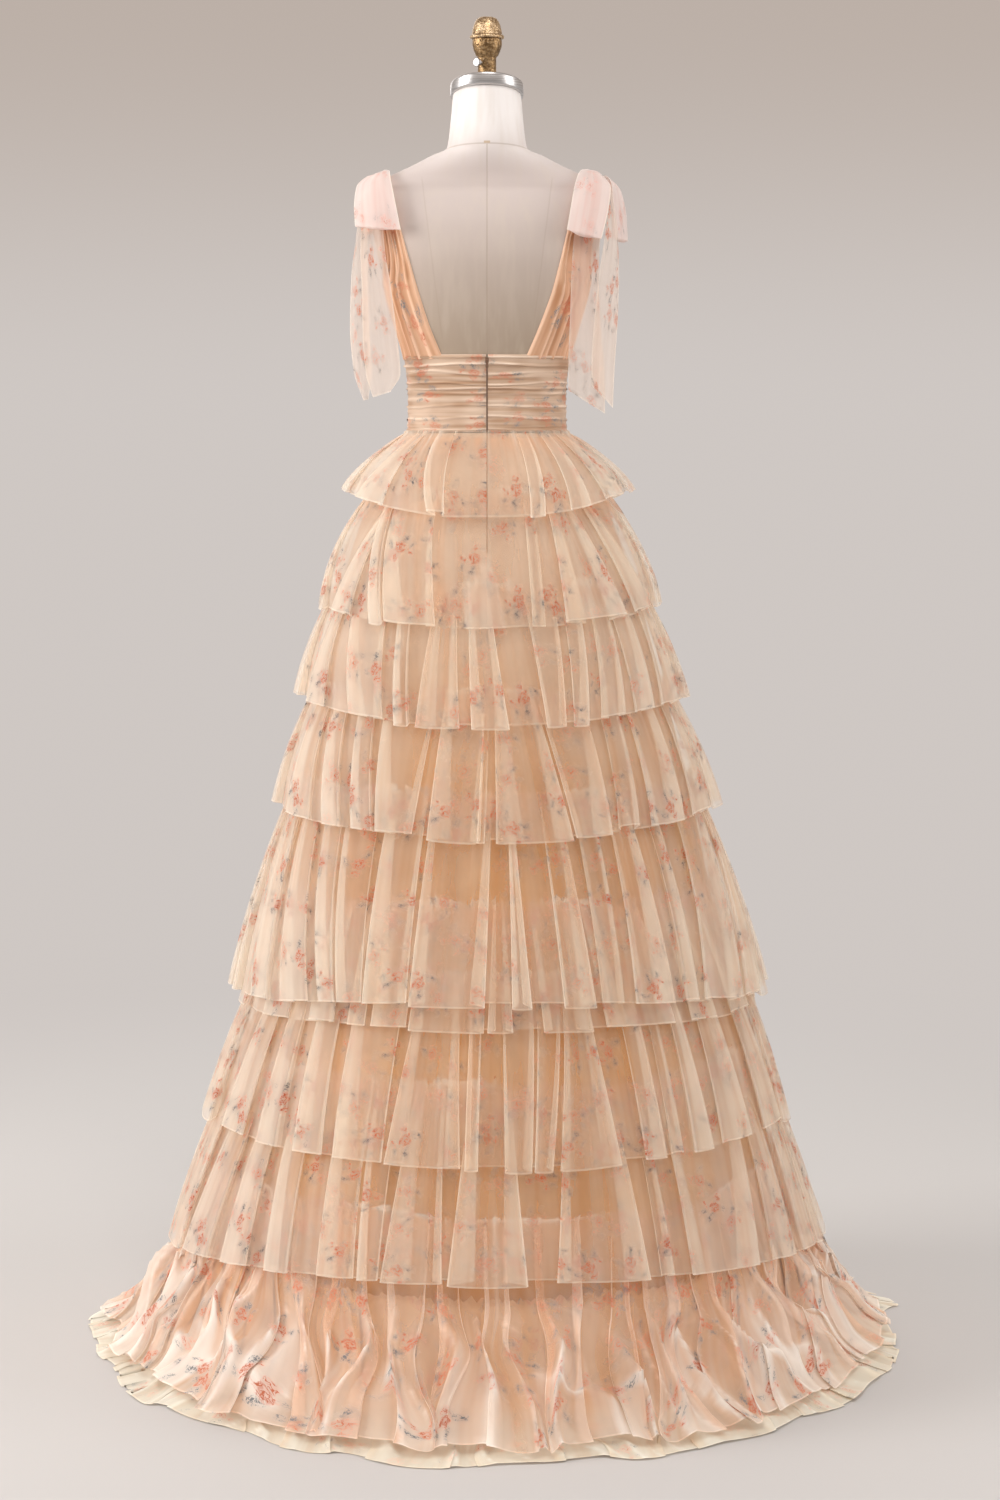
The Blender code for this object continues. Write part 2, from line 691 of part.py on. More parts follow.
def slit_cutter(top):
    """The stretch of the second tier that the zip's opening passes through."""
    low, high = ZIP_BOTTOM - 0.002, top + 0.02
    points = []
    for z in (low, high):
        for x, y in ((-1, 0.10), (1, 0.10), (1, 0.30), (-1, 0.30)):
            points.append((x * SLIT_HALF, y, z))
    faces = ((0, 3, 2, 1), (4, 5, 6, 7), (0, 1, 5, 4),
             (1, 2, 6, 5), (2, 3, 7, 6), (3, 0, 4, 7))
    return mesh_object("tier_2_slit_cutter", points, faces, "tulle")


def build_train():
    for name, start in (("tier_9", 10), ("train_underlayer", 4)):
        wave = flute_wave(start)
        angles = ring_angles()
        grid = []
        for height, half, back, front, flute, rise in reversed(TRAIN_ROWS[name]):
            if half is None:
                grid.append([on_lining(angle, height) for angle in angles])
                continue
            grid.append(hem_row(
                angles, wave, height, height, half, back, front, flute, rise
            ))
        wall(name, grid, CLOTH_WALL, "tulle_pale", closed=True)


# Waistband and bodice.

def band_lift(z):
    part = (z - BAND_BOTTOM) / (BAND_TOP - BAND_BOTTOM)
    return BAND_LIFT_BOTTOM + (BAND_LIFT_TOP - BAND_LIFT_BOTTOM) * part


def band_point(turn, z, way, side, ruche):
    lift = band_lift(z) + ruche
    return mirrored([form_point(turn, z, way, lift)], side)[0]


def build_waistband():
    heights = []
    for row in range(BAND_ROWS):
        part = row / (BAND_ROWS - 1)
        heights.append(BAND_BOTTOM + (BAND_TOP - BAND_BOTTOM) * part)
    side_gap = SEAM_GAP / 2 / 0.08
    for name, side in (("left", 1), ("right", -1)):
        grid = []
        for row, z in enumerate(heights):
            ruche = BAND_RUCHE if row % 2 else -BAND_RUCHE
            centre = form_turn(SLIT_HALF + 0.0001, z)
            line = []
            for column in range(6):
                turn = centre + (side_gap - centre) * column / 5
                line.append(band_point(turn, z, 1, side, ruche))
            grid.append(line)
        wall("waistband_back_" + name, grid, BAND_WALL, "tulle")
    grid = []
    for row, z in enumerate(heights):
        ruche = BAND_RUCHE if row % 2 else -BAND_RUCHE
        line = []
        for column in range(11):
            turn = side_gap + (math.pi - 2 * side_gap) * column / 10
            side = 1 if turn <= math.pi / 2 else -1
            quarter = turn if side > 0 else math.pi - turn
            line.append(band_point(quarter, z, -1, side, ruche))
        grid.append(line)
    wall("waistband_front", grid, BAND_WALL, "tulle")


def bodice_panel(name, rows, side, way):
    columns = 8
    side_gap = 0.010
    grid = []
    for z_in, x_in, z_out, x_out in rows:
        over_ridge = z_in is None
        z_in = ridge_height(x_in) - 0.0006 if over_ridge else z_in
        z_out = ridge_height(x_out) - 0.0006 if over_ridge else z_out
        turn_in = form_turn(x_in, z_in)
        turn_out = side_gap if x_out is None else form_turn(x_out, z_out)
        line = []
        for column in range(columns):
            part = column / (columns - 1)
            z = z_in + (z_out - z_in) * part
            if over_ridge:
                x = x_in + (x_out - x_in) * part
                turn = form_turn(x, z)
            else:
                turn = turn_in + (turn_out - turn_in) * part
            gather = BODICE_GATHER if column % 2 else -BODICE_GATHER
            gather = max(gather, 0.0)
            line.append(form_point(turn, z, way, BODICE_LIFT + gather))
        grid.append(mirrored(line, side))
    wall(name, grid, CLOTH_WALL, "tulle")


def build_bodice():
    for name, side in (("left", 1), ("right", -1)):
        bodice_panel("bodice_back_" + name, BODICE_BACK[name], side, 1)
        bodice_panel("bodice_front_" + name, BODICE_FRONT, side, -1)


# Bows.

def ribbon_edge(way, edge, front):
    x, second, z = edge
    if way == FREE:
        return Vector((x, second, z))
    if z is None:
        z = ridge_height(x) - 0.0002
    facing = -1 if front else 1
    return form_point(form_turn(x, z), z, facing, second)


def build_bows():
    for name, rows in BOW_ROWS.items():
        side = 1 if "left" in name else -1
        front = "front_loop" in name
        grid = []
        for way, inner, outer in rows:
            a, b = ribbon_edge(way, inner, front), ribbon_edge(way, outer, front)
            middle = (a + b) / 2
            if way == FREE:
                middle += Vector((0.0, -0.003 if front else 0.003, 0.0))
            grid.append(mirrored([a, middle, b], side))
        wall(name, grid, CLOTH_WALL, "tulle_pale")
    for name, side in (("left", 1), ("right", -1)):
        build_knot("bow_" + name + "_knot", side)


def build_knot(name, side):
    z = ridge_height(KNOT_X) - 0.003
    seat = form_point(form_turn(KNOT_X, z), z, -1, 0.0)
    normal = form_normal(seat)
    middle = seat + normal * (KNOT_RADII[2] + BODICE_LIFT + KNOT_SEAT)
    turn = normal.to_track_quat("Z", "X")
    rings = []
    for level in range(1, 6):
        angle = math.pi * level / 6
        ring = []
        for step in range(10):
            round_ = 2 * math.pi * step / 10
            spoke = Vector((
                KNOT_RADII[0] * math.sin(angle) * math.cos(round_),
                KNOT_RADII[1] * math.sin(angle) * math.sin(round_),
                -KNOT_RADII[2] * math.cos(angle),
            ))
            ring.append(middle + turn @ spoke)
        rings.append(mirrored(ring, side))
    loft(name, rings, "tulle_pale")


# Zip.

def band_back(z):
    """Where the waistband's cloth lies at the centre back."""
    return form_point(math.pi / 2, z, 1, band_lift(z))


def build_zip():
    off_lining = (CLOTH_WALL + ZIP_DEPTH) / 2 + HEADING_GAP
    path = [on_lining(math.pi / 2, z, off_lining) for z in (ZIP_BOTTOM, 1.214, 1.268)]
    path += [band_back(z) for z in (BAND_BOTTOM, 1.345, 1.380, ZIP_TOP)]
    grid = []
    for point in path:
        grid.append([
            Vector((side * ZIP_WIDTH / 2, point.y, point.z)) for side in (1, -1)
        ])
    wall("zip_chain", grid, ZIP_DEPTH, "zip_brown")


def box(name, centre, size, colour):
    points = []
    for z in (-0.5, 0.5):
        for x, y in ((-0.5, -0.5), (0.5, -0.5), (0.5, 0.5), (-0.5, 0.5)):
            points.append((
                centre[0] + x * size[0],
                centre[1] + y * size[1],
                centre[2] + z * size[2],
            ))
    faces = ((0, 3, 2, 1), (4, 5, 6, 7), (0, 1, 5, 4),
             (1, 2, 6, 5), (2, 3, 7, 6), (3, 0, 4, 7))
    return mesh_object(name, points, faces, colour)


def build_slider():
    face = band_back(SLIDER_CENTRE).y + BAND_WALL / 2 + BAND_RUCHE + SEAM_GAP
    wide, deep, tall = SLIDER_SIZE
    body_y = face + deep / 2
    slider = box("zip_slider", (0.0, body_y, SLIDER_CENTRE), SLIDER_SIZE, "zip_brown")
    bar_y = face + deep + BAR_STANDOFF
    for side in (1, -1):
        post = box("zip_post_cutter_" + ("a" if side > 0 else "b"),
                   (side * POST_OFFSET, face + deep + 0.0011, SLIDER_CENTRE),
                   (0.0009, 0.0030, 0.0016), "zip_brown")
        cut(slider, post, "UNION")
    bar = rod("zip_bar_cutter", Vector((-POST_OFFSET, bar_y, SLIDER_CENTRE)),
              Vector((POST_OFFSET, bar_y, SLIDER_CENTRE)),
              ((0.0, BAR_RADIUS), (1.0, BAR_RADIUS)), "zip_brown", steps=12)
    cut(slider, bar, "UNION")
    build_pull(bar_y)


def build_pull(bar_y):
    """A small drop-shaped tab that hangs from the slider's bar by its eye."""
    half_eye = 0.0009
    outline = (
        # drop below the bar, half width
        (0.0000, half_eye),
        (0.0022, half_eye),
        (0.0036, 0.0015),
        (0.0080, 0.0022),
        (0.0100, 0.0019),
        (PULL_LENGTH, 0.0009),
    )
    rings = []
    for drop, half in reversed(outline):
        ring = []
        for x, y in ((-half, -0.0005), (half, -0.0005), (half, 0.0005), (-half, 0.0005)):
            ring.append(Vector((x, y, -drop)))
        rings.append(ring)
    pull = loft("zip_pull", rings, "zip_brown")
    pull.location = (0.0, bar_y, SLIDER_CENTRE)
    start, end = Vector((-half_eye, 0, 0)), Vector((half_eye, 0, 0))
    eye = rod("zip_eye_cutter", start, end,
              ((0.0, EYE_RADIUS), (1.0, EYE_RADIUS)), "zip_brown", steps=16)
    hole = rod("zip_hole_cutter", start * 3, end * 3,
               ((0.0, EYE_BORE), (1.0, EYE_BORE)), "zip_brown", steps=16)
    for cutter in (eye, hole):
        cutter.location = pull.location
    cut(pull, eye, "UNION")
    cut(pull, hole)


build_form()
build_neck_cap()
build_finial()
build_stand()
build_lining()
build_tiers()
build_train()
build_waistband()
build_bodice()
build_bows()
build_zip()
build_slider()
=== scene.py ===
"""Tiered tulle prom dress on a limbless dress form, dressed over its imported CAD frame."""

import math
import random

import bpy
import numpy as np
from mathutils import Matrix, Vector


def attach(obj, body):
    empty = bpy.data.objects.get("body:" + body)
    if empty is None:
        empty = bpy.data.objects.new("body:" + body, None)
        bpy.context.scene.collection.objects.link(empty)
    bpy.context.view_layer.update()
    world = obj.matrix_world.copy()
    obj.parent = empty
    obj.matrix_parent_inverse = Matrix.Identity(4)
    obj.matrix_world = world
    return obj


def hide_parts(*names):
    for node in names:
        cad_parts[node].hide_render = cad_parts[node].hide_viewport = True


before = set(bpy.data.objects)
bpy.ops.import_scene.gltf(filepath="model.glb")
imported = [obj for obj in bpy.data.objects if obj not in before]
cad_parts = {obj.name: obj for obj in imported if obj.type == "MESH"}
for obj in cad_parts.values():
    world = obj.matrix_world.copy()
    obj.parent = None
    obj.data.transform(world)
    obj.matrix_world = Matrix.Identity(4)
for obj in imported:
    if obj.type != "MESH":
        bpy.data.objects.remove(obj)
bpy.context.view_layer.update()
BODY = "gown_and_form"

# Sizes, in metres where nothing else is said.

MM = 1000.0

FORM_ROWS = (
    # height, half_width, back, front, squareness
    (0.985, 0.158, 0.108, 0.105, 2.3),
    (1.060, 0.168, 0.120, 0.112, 2.3),
    (1.130, 0.164, 0.120, 0.110, 2.3),
    (1.200, 0.146, 0.106, 0.098, 2.2),
    (1.250, 0.128, 0.090, 0.089, 2.2),
    (1.305, 0.1085, 0.0750, 0.081, 2.2),
    (1.345, 0.1085, 0.0725, 0.081, 2.2),
    (1.380, 0.1110, 0.0740, 0.085, 2.2),
    (1.413, 0.1170, 0.0795, 0.0925, 2.2),
    (1.455, 0.1290, 0.0870, 0.107, 2.3),
    (1.500, 0.1420, 0.0925, 0.119, 2.3),
    (1.545, 0.1540, 0.0950, 0.115, 2.3),
    (1.590, 0.1640, 0.0875, 0.095, 2.2),
    (1.625, 0.1710, 0.0700, 0.074, 2.2),
    (1.648, 0.1720, 0.0540, 0.054, 2.2),
    (1.665, 0.1400, 0.0525, 0.052, 2.2),
    (1.682, 0.1030, 0.0545, 0.053, 2.1),
    (1.694, 0.0800, 0.0560, 0.054, 2.0),
    (1.704, 0.0575, 0.0565, 0.055, 2.0),
    (1.740, 0.0520, 0.0510, 0.051, 2.0),
    (1.7775, 0.0485, 0.0475, 0.0475, 2.0),
)
SHOULDER_END = 1.648
NECK_TOP = 1.7775
NECK_TILT = 0.25
RING_TOP = NECK_TOP + 0.0175

LINING_ROWS = (
    # height, half_width, back, front
    (1.3022, 0.1135, 0.0800, 0.0860),
    (1.2700, 0.1310, 0.0980, 0.1030),
    (1.2140, 0.1680, 0.1360, 0.1330),
    (1.0870, 0.2120, 0.1820, 0.1650),
    (0.8080, 0.2800, 0.2720, 0.2180),
    (0.5700, 0.3260, 0.3490, 0.2540),
    (0.2665, 0.4050, 0.4850, 0.3070),
    (0.1650, 0.4280, 0.5200, 0.3250),
)
# Height and squareness of the skirt's rings, and height and how far their middle sways to the side.
SQUARE_ROWS = ((1.10, 2.0), (1.27, 2.2))
SWAY_ROWS = ((0.0, -0.015), (0.2, -0.012), (0.5, -0.018), (0.8, -0.012), (1.15, 0.0))

TIER_ROWS = (
    # name, heading, hem at side, at back, half width, back, front, bulge, fold depth, narrow, broad
    ("tier_1", 1.3014, 1.2185, 1.186, 0.2055, 0.176, 0.168, 0.012, 0.011, 0.045, 0.110),
    ("tier_2", 1.2140, 1.0557, 1.034, 0.2440, 0.226, 0.200, 0.013, 0.012, 0.045, 0.120),
    ("tier_3", 1.0870, 0.9250, 0.904, 0.2810, 0.272, 0.230, 0.008, 0.013, 0.040, 0.105),
    ("tier_4", 0.9430, 0.7660, 0.755, 0.3210, 0.320, 0.257, 0.008, 0.014, 0.045, 0.115),
    ("tier_5", 0.8080, 0.4970, 0.545, 0.3870, 0.412, 0.301, 0.009, 0.015, 0.045, 0.125),
    ("tier_6", 0.6610, 0.4780, 0.510, 0.3730, 0.405, 0.290, 0.004, 0.009, 0.050, 0.120),
    ("tier_7", 0.5700, 0.3235, 0.340, 0.4220, 0.485, 0.322, 0.007, 0.015, 0.045, 0.125),
    ("tier_8", 0.4310, 0.1390, 0.205, 0.4730, 0.555, 0.358, 0.006, 0.016, 0.045, 0.120),
)
# The panels that the back of each tier falls into, from the wearer's left to the right: their
# edges' distances from the centre at the hem and near the heading, how far they stand out and
# how much they lift the hem.
BACK_PANELS = {
    # In millimetres, but for the depth: hem left, hem right, top left, top right, depth, lift
    "tier_1": (
        (184, 142, 120, 100, 0.8, 4), (78, 54, 73, 46, 1.2, 8), (-56, -76, -43, -60, 1.1, -2),
        (-113, -142, -83, -100, 0.8, 3), (-164, -190, -112, -128, 0.8, 6),
    ),
    "tier_2": (
        (224, 196, 152, 140, 0.7, 6), (164, 148, 146, 134, 1.1, -4), (145, 74, 130, 70, 0.9, 3),
        (-60, -78, -50, -64, 0.4, 0), (-104, -190, -84, -126, 0.9, 8), (-204, -228, -142, -158, 0.7, 8),
    ),
    "tier_3": (
        (262, 236, 214, 204, 0.8, 4), (200, 152, 190, 142, 0.7, 4), (133, 116, 124, 109, 1.1, -3),
        (106, 45, 78, 44, 1.0, -3), (29, -22, 28, -3, 1.1, -5), (-73, -99, -52, -91, 1.0, -4),
        (-109, -128, -102, -124, 1.1, -5), (-150, -186, -140, -166, 0.5, 4),
        (-197, -222, -168, -192, 0.9, 5), (-236, -264, -206, -222, 0.8, 8),
    ),
    "tier_4": (
        (294, 262, 252, 234, 0.8, 6), (236, 214, 222, 204, 1.0, 4), (198, 170, 186, 164, 0.8, 4),
        (163, 114, 150, 82, 1.0, 5), (95, 27, 70, 12, 0.9, -4), (26, 16, 14, 6, 1.2, -2),
        (1, -104, -2, -66, 1.0, -4), (-107, -156, -70, -130, 1.1, 0), (-170, -200, -150, -176, 0.4, 8),
        (-212, -259, -186, -226, 0.9, 6), (-274, -302, -240, -258, 0.8, 10),
    ),
    "tier_5": (
        (348, 322, 296, 280, 0.8, 6), (300, 262, 272, 250, 0.8, 4), (243, 222, 237, 214, 1.0, 4),
        (219, 187, 208, 164, 0.8, 3), (183, 124, 152, 99, 1.0, 2), (121, 20, 91, 8, 1.0, -4),
        (-16, -42, -16, -25, 1.3, -4), (-85, -128, -64, -93, 1.0, -4), (-140, -170, -112, -140, 0.4, 2),
        (-181, -235, -156, -190, 1.0, 3), (-256, -272, -214, -228, 0.8, 6),
        (-280, -334, -254, -292, 0.9, 8), (-346, -364, -302, -316, 0.8, 10),
    ),
    "tier_6": (
        (330, 292, 290, 262, 0.8, 4), (262, 226, 232, 204, 0.8, 4), (206, 182, 180, 160, 1.0, 2),
        (174, 126, 150, 106, 0.9, 2), (123, 22, 100, 14, 1.0, -3), (17, -17, 8, -10, 1.2, -2),
        (-58, -124, -46, -100, 1.0, -4), (-142, -238, -118, -200, 0.9, 3),
        (-262, -300, -228, -256, 0.8, 5), (-322, -352, -280, -304, 0.8, 8),
    ),
    "tier_7": (
        (384, 352, 318, 296, 0.8, 6), (326, 300, 280, 262, 0.9, 6), (276, 236, 244, 214, 0.8, 4),
        (218, 154, 195, 132, 1.0, 4), (150, 49, 114, 54, 1.0, 2), (43, 26, 40, 25, 1.3, 0),
        (-9, -44, -3, -44, 1.0, -4), (-47, -71, -49, -79, 1.1, -3), (-81, -163, -84, -118, 1.0, -3),
        (-195, -222, -158, -182, 1.0, 2), (-236, -252, -196, -208, 0.4, 4),
        (-262, -288, -224, -239, 1.0, 4), (-306, -350, -262, -290, 0.8, 8),
        (-372, -398, -312, -330, 0.8, 10),
    ),
    "tier_8": (
        (436, 398, 352, 328, 0.8, 6), (372, 336, 316, 294, 0.9, 6), (307, 276, 278, 250, 1.0, 4),
        (238, 187, 215, 174, 0.7, 4), (179, 154, 168, 136, 1.0, 3), (150, 70, 119, 72, 1.0, 0),
        (63, -41, 43, -19, 1.1, -3), (-78, -202, -83, -158, 0.9, 2), (-222, -240, -184, -198, 0.4, 4),
        (-258, -356, -220, -321, 0.9, 4), (-378, -412, -332, -352, 0.8, 8),
        (-430, -452, -364, -378, 0.8, 8),
    ),
    "tier_9": (
        (470, 420, 350, 330, 0.8, 0), (390, 330, 316, 290, 1.0, 0), (300, 262, 270, 236, 1.0, 0),
        (240, 170, 214, 170, 1.0, 0), (150, 112, 142, 90, 1.0, 0), (86, 40, 76, 50, 1.1, 0),
        (10, -34, 16, -14, 1.0, 0), (-62, -128, -50, -110, 1.0, 0), (-160, -190, -150, -172, 1.1, 0),
        (-214, -286, -190, -232, 1.0, 0), (-310, -350, -252, -284, 0.9, 0),
        (-380, -440, -304, -336, 0.9, 0), (-462, -494, -352, -368, 0.9, 0),
    ),
    "train_underlayer": (
        (430, 350, 340, 300, 0.8, 0), (290, 210, 260, 180, 1.0, 0), (160, 70, 140, 60, 1.0, 0),
        (20, -80, 20, -60, 1.0, 0), (-130, -220, -100, -190, 1.0, 0), (-270, -350, -240, -300, 0.8, 0),
        (-400, -470, -330, -370, 0.8, 0),
    ),
}
SLIT_FOOT = {"tier_1": 0.0, "tier_2": 1.136}
SLIT_HALF = 0.0007

TRAIN_ROWS = {
    # heading on the lining, then height, half_width, back, front
    "tier_9": (
        0.2665,
        (0.1000, 0.4750, 0.6000, 0.3500),
        (0.0300, 0.5300, 0.6400, 0.3720),
        (0.0130, 0.5650, 0.6580, 0.3850),
    ),
    "train_underlayer": (
        0.1660,
        (0.0600, 0.4550, 0.5480, 0.3320),
        (0.0080, 0.5330, 0.6150, 0.3680),
        (0.0013, 0.5900, 0.6760, 0.3980),
    ),
}

BAND_TOP = 1.4125
BAND_BOTTOM = 1.3030
BAND_LIFT_TOP = 0.0042
BAND_LIFT_BOTTOM = 0.0066
ZIP_TOP = 1.3985
ZIP_BOTTOM = 1.1360
ZIP_GAP = 0.0012


# Shader nodes.

def add(tree, kind, settings=None, **inputs):
    """A shader node; a keyword is an input's name, with _ for a space, or its number after an i."""
    node = tree.nodes.new("ShaderNode" + kind)
    for key, value in (settings or {}).items():
        setattr(node, key, value)
    for key, value in inputs.items():
        numbered = key[0] == "i" and key[1:].isdigit()
        socket = node.inputs[int(key[1:]) if numbered else key.replace("_", " ")]
        if isinstance(value, bpy.types.NodeSocket):
            tree.links.new(value, socket)
        elif socket.type == "RGBA":
            socket.default_value = (*value, 1.0)
        else:
            socket.default_value = value
    return node


def calc(tree, operation, a, b=0.0, c=0.0, clamp=False):
    settings = {"operation": operation, "use_clamp": clamp}
    return add(tree, "Math", settings, i0=a, i1=b, i2=c).outputs[0]


def times(tree, a, b, clamp=False):
    return calc(tree, "MULTIPLY", a, b, clamp=clamp)


def plus(tree, base, value, gain):
    """The base with gain times the value on top."""
    return calc(tree, "MULTIPLY_ADD", value, gain, base)


def apart(tree, a, b):
    return calc(tree, "ABSOLUTE", calc(tree, "SUBTRACT", a, b))


def vector(tree, operation, a, b=(0.0, 0.0, 0.0)):
    node = add(tree, "VectorMath", {"operation": operation}, i0=a, i1=b)
    return node.outputs["Value" if operation == "LENGTH" else "Vector"]


def ramp(tree, value, low, high, start=0.0, end=1.0):
    """A smooth step from start to end as value goes from low to high."""
    settings = {"interpolation_type": "SMOOTHSTEP"}
    return add(tree, "MapRange", settings, i0=value, i1=low, i2=high, i3=start, i4=end).outputs[0]


def blend(tree, factor, a, b):
    """From colour a to colour b as the factor goes from 0 to 1."""
    return add(tree, "Mix", {"data_type": "RGBA"}, i0=factor, i6=a, i7=b).outputs[2]


def noise(tree, place, scale=1.0, detail=2.0, rough=0.5, kind="3D"):
    inputs = {"Vector": place, "Scale": scale, "Detail": detail, "Roughness": rough}
    return add(tree, "TexNoise", {"noise_dimensions": kind}, **inputs).outputs[0]


def mapped(tree, place, scale, move=(0.0, 0.0, 0.0)):
    return add(tree, "Mapping", Vector=place, Scale=scale, Location=move).outputs[0]


def in_space(tree):
    return add(tree, "TexCoord").outputs["Object"]


def on_cloth(tree):
    """The place on the flat cloth, in metres: along it, and up from its hem."""
    return add(tree, "UVMap", {"uv_map": "cloth"}).outputs[0]


def field(tree, name):
    return add(tree, "Attribute", {"attribute_name": name}).outputs["Fac"]


def new_material(name):
    made = bpy.data.materials.new(name)
    made.use_nodes = True
    made.node_tree.nodes.clear()
    return made, made.node_tree


def opaque(made, tone, rough, relief, strength, depth, **looks):
    """Gives the material an opaque finish with a fine relief, and returns it."""
    tree = made.node_tree
    bump = add(tree, "Bump", Strength=strength, Distance=depth, Height=relief).outputs[0]
    shine = add(tree, "BsdfPrincipled", Base_Color=tone, Roughness=rough, Normal=bump, **looks)
    add(tree, "OutputMaterial", Surface=shine.outputs[0])
    return made


# The print.

SPRAYS_PER_METRE = 17.0
SHIVER = 0.16
FULL_TURN = 6.2832
RING_RADIUS = 0.085
CORAL_INK = (0.62, 0.185, 0.100)
SLATE_INK = (0.24, 0.235, 0.24)


def print_group():
    """Watercolour sprays, one a cell: scribbled coral blossoms round a ring, and slate leaf strokes."""
    group = bpy.data.node_groups.new("spray_print", "ShaderNodeTree")
    group.interface.new_socket("Cloth", in_out="INPUT", socket_type="NodeSocketVector")
    for ink in ("Coral", "Slate"):
        group.interface.new_socket(ink, in_out="OUTPUT", socket_type="NodeSocketFloat")
    start = group.nodes.new("NodeGroupInput")
    end = group.nodes.new("NodeGroupOutput")
    scaled = mapped(group, start.outputs["Cloth"], (SPRAYS_PER_METRE, SPRAYS_PER_METRE, 1.0))
    shiver = add(group, "TexNoise", {"noise_dimensions": "2D"}, Vector=scaled, Scale=5.0, Detail=2.0)
    centred = vector(group, "ADD", shiver.outputs[1], (-0.5, -0.5, 0.0))
    warped = vector(group, "ADD", scaled, vector(group, "MULTIPLY", centred, (SHIVER, SHIVER, 0.0)))
    cells = add(group, "TexVoronoi", {"voronoi_dimensions": "2D"}, Vector=warped, Scale=1.0, Randomness=0.85)
    offset = vector(group, "SUBTRACT", warped, cells.outputs["Position"])
    chance = add(group, "SeparateColor", i0=cells.outputs["Color"]).outputs
    turn = times(group, chance[0], FULL_TURN)
    local = add(group, "VectorRotate", {"rotation_type": "Z_AXIS"}, Vector=offset, Angle=turn).outputs[0]

    def distance(place, squash):
        away = vector(group, "SUBTRACT", local, (*place, 0.0))
        return vector(group, "LENGTH", vector(group, "MULTIPLY", away, (*squash, 1.0)))

    def scribble(across, along, move):
        """Thin wandering brush lines."""
        hazy = noise(group, mapped(group, local, (across, along, 1.0), (*move, 0.0)), 1.0, 2.0, 0.6, "2D")
        return ramp(group, apart(group, hazy, 0.5), 0.0, 0.070, 1.0, 0.0)

    def spots(*places):
        """The strongest of some soft spots, each with its place, squash, reach and strength."""
        highest = 0.0
        for place, squash, reach, strength in places:
            spot = ramp(group, distance(place, squash), 0.02, reach, strength, 0.0)
            highest = calc(group, "MAXIMUM", spot, highest)
        return highest

    lines = scribble(11.0, 8.5, (3.0, 1.0))
    veins = scribble(14.0, 9.0, (7.0, 5.0))
    off_ring = apart(group, distance((0.05, 0.0), (1.0, 0.82)), RING_RADIUS)
    ring = ramp(group, off_ring, 0.0, 0.050, 0.75, 0.0)
    blossoms = spots(
        ((0.04, 0.02), (1.0, 1.25), 0.27, 1.0),
        ((0.24, 0.17), (1.0, 1.6), 0.20, 0.9),
        ((-0.18, 0.20), (1.5, 1.0), 0.17, 0.8),
    )
    leaves = spots(
        ((-0.22, -0.14), (1.0, 1.9), 0.25, 1.0),
        ((0.26, -0.20), (1.8, 1.0), 0.24, 0.9),
        ((-0.33, 0.10), (1.2, 2.2), 0.19, 0.8),
    )
    drawn = times(group, blossoms, plus(group, 0.24, lines, 0.80))
    coral = calc(group, "MAXIMUM", drawn, times(group, ring, plus(group, 0.5, lines, 0.5)))
    slate = times(group, leaves, plus(group, 0.18, veins, 0.90))
    shown = ramp(group, chance[1], 0.10, 0.20)
    shown = times(group, shown, plus(group, 0.50, chance[2], 0.60))
    group.links.new(times(group, coral, shown), end.inputs["Coral"])
    group.links.new(times(group, slate, shown), end.inputs["Slate"])
    return group


PRINT = print_group()


def printed(tree, place, tone, coral, slate):
    """The tone with the print over it, and how much ink there is."""
    sprays = add(tree, "Group", {"node_tree": PRINT}, i0=place).outputs
    red = times(tree, sprays[0], coral, clamp=True)
    blue = times(tree, sprays[1], slate, clamp=True)
    inked = blend(tree, blue, blend(tree, red, tone, CORAL_INK), SLATE_INK)
    return inked, calc(tree, "MAXIMUM", red, blue)


# Materials.

# Pale tone where the net is dense: doubled at hems and fold edges, and partly painted highlight on crests
# and on the lit side.
HEM_AND_HIGHLIGHT_TONE = (1.0, 0.935, 0.840)
# Darker orange tone of the band under each heading: denser gathers and painted shade.
HEADING_GATHERS_SHADE_TONE = (0.97, 0.640, 0.430)


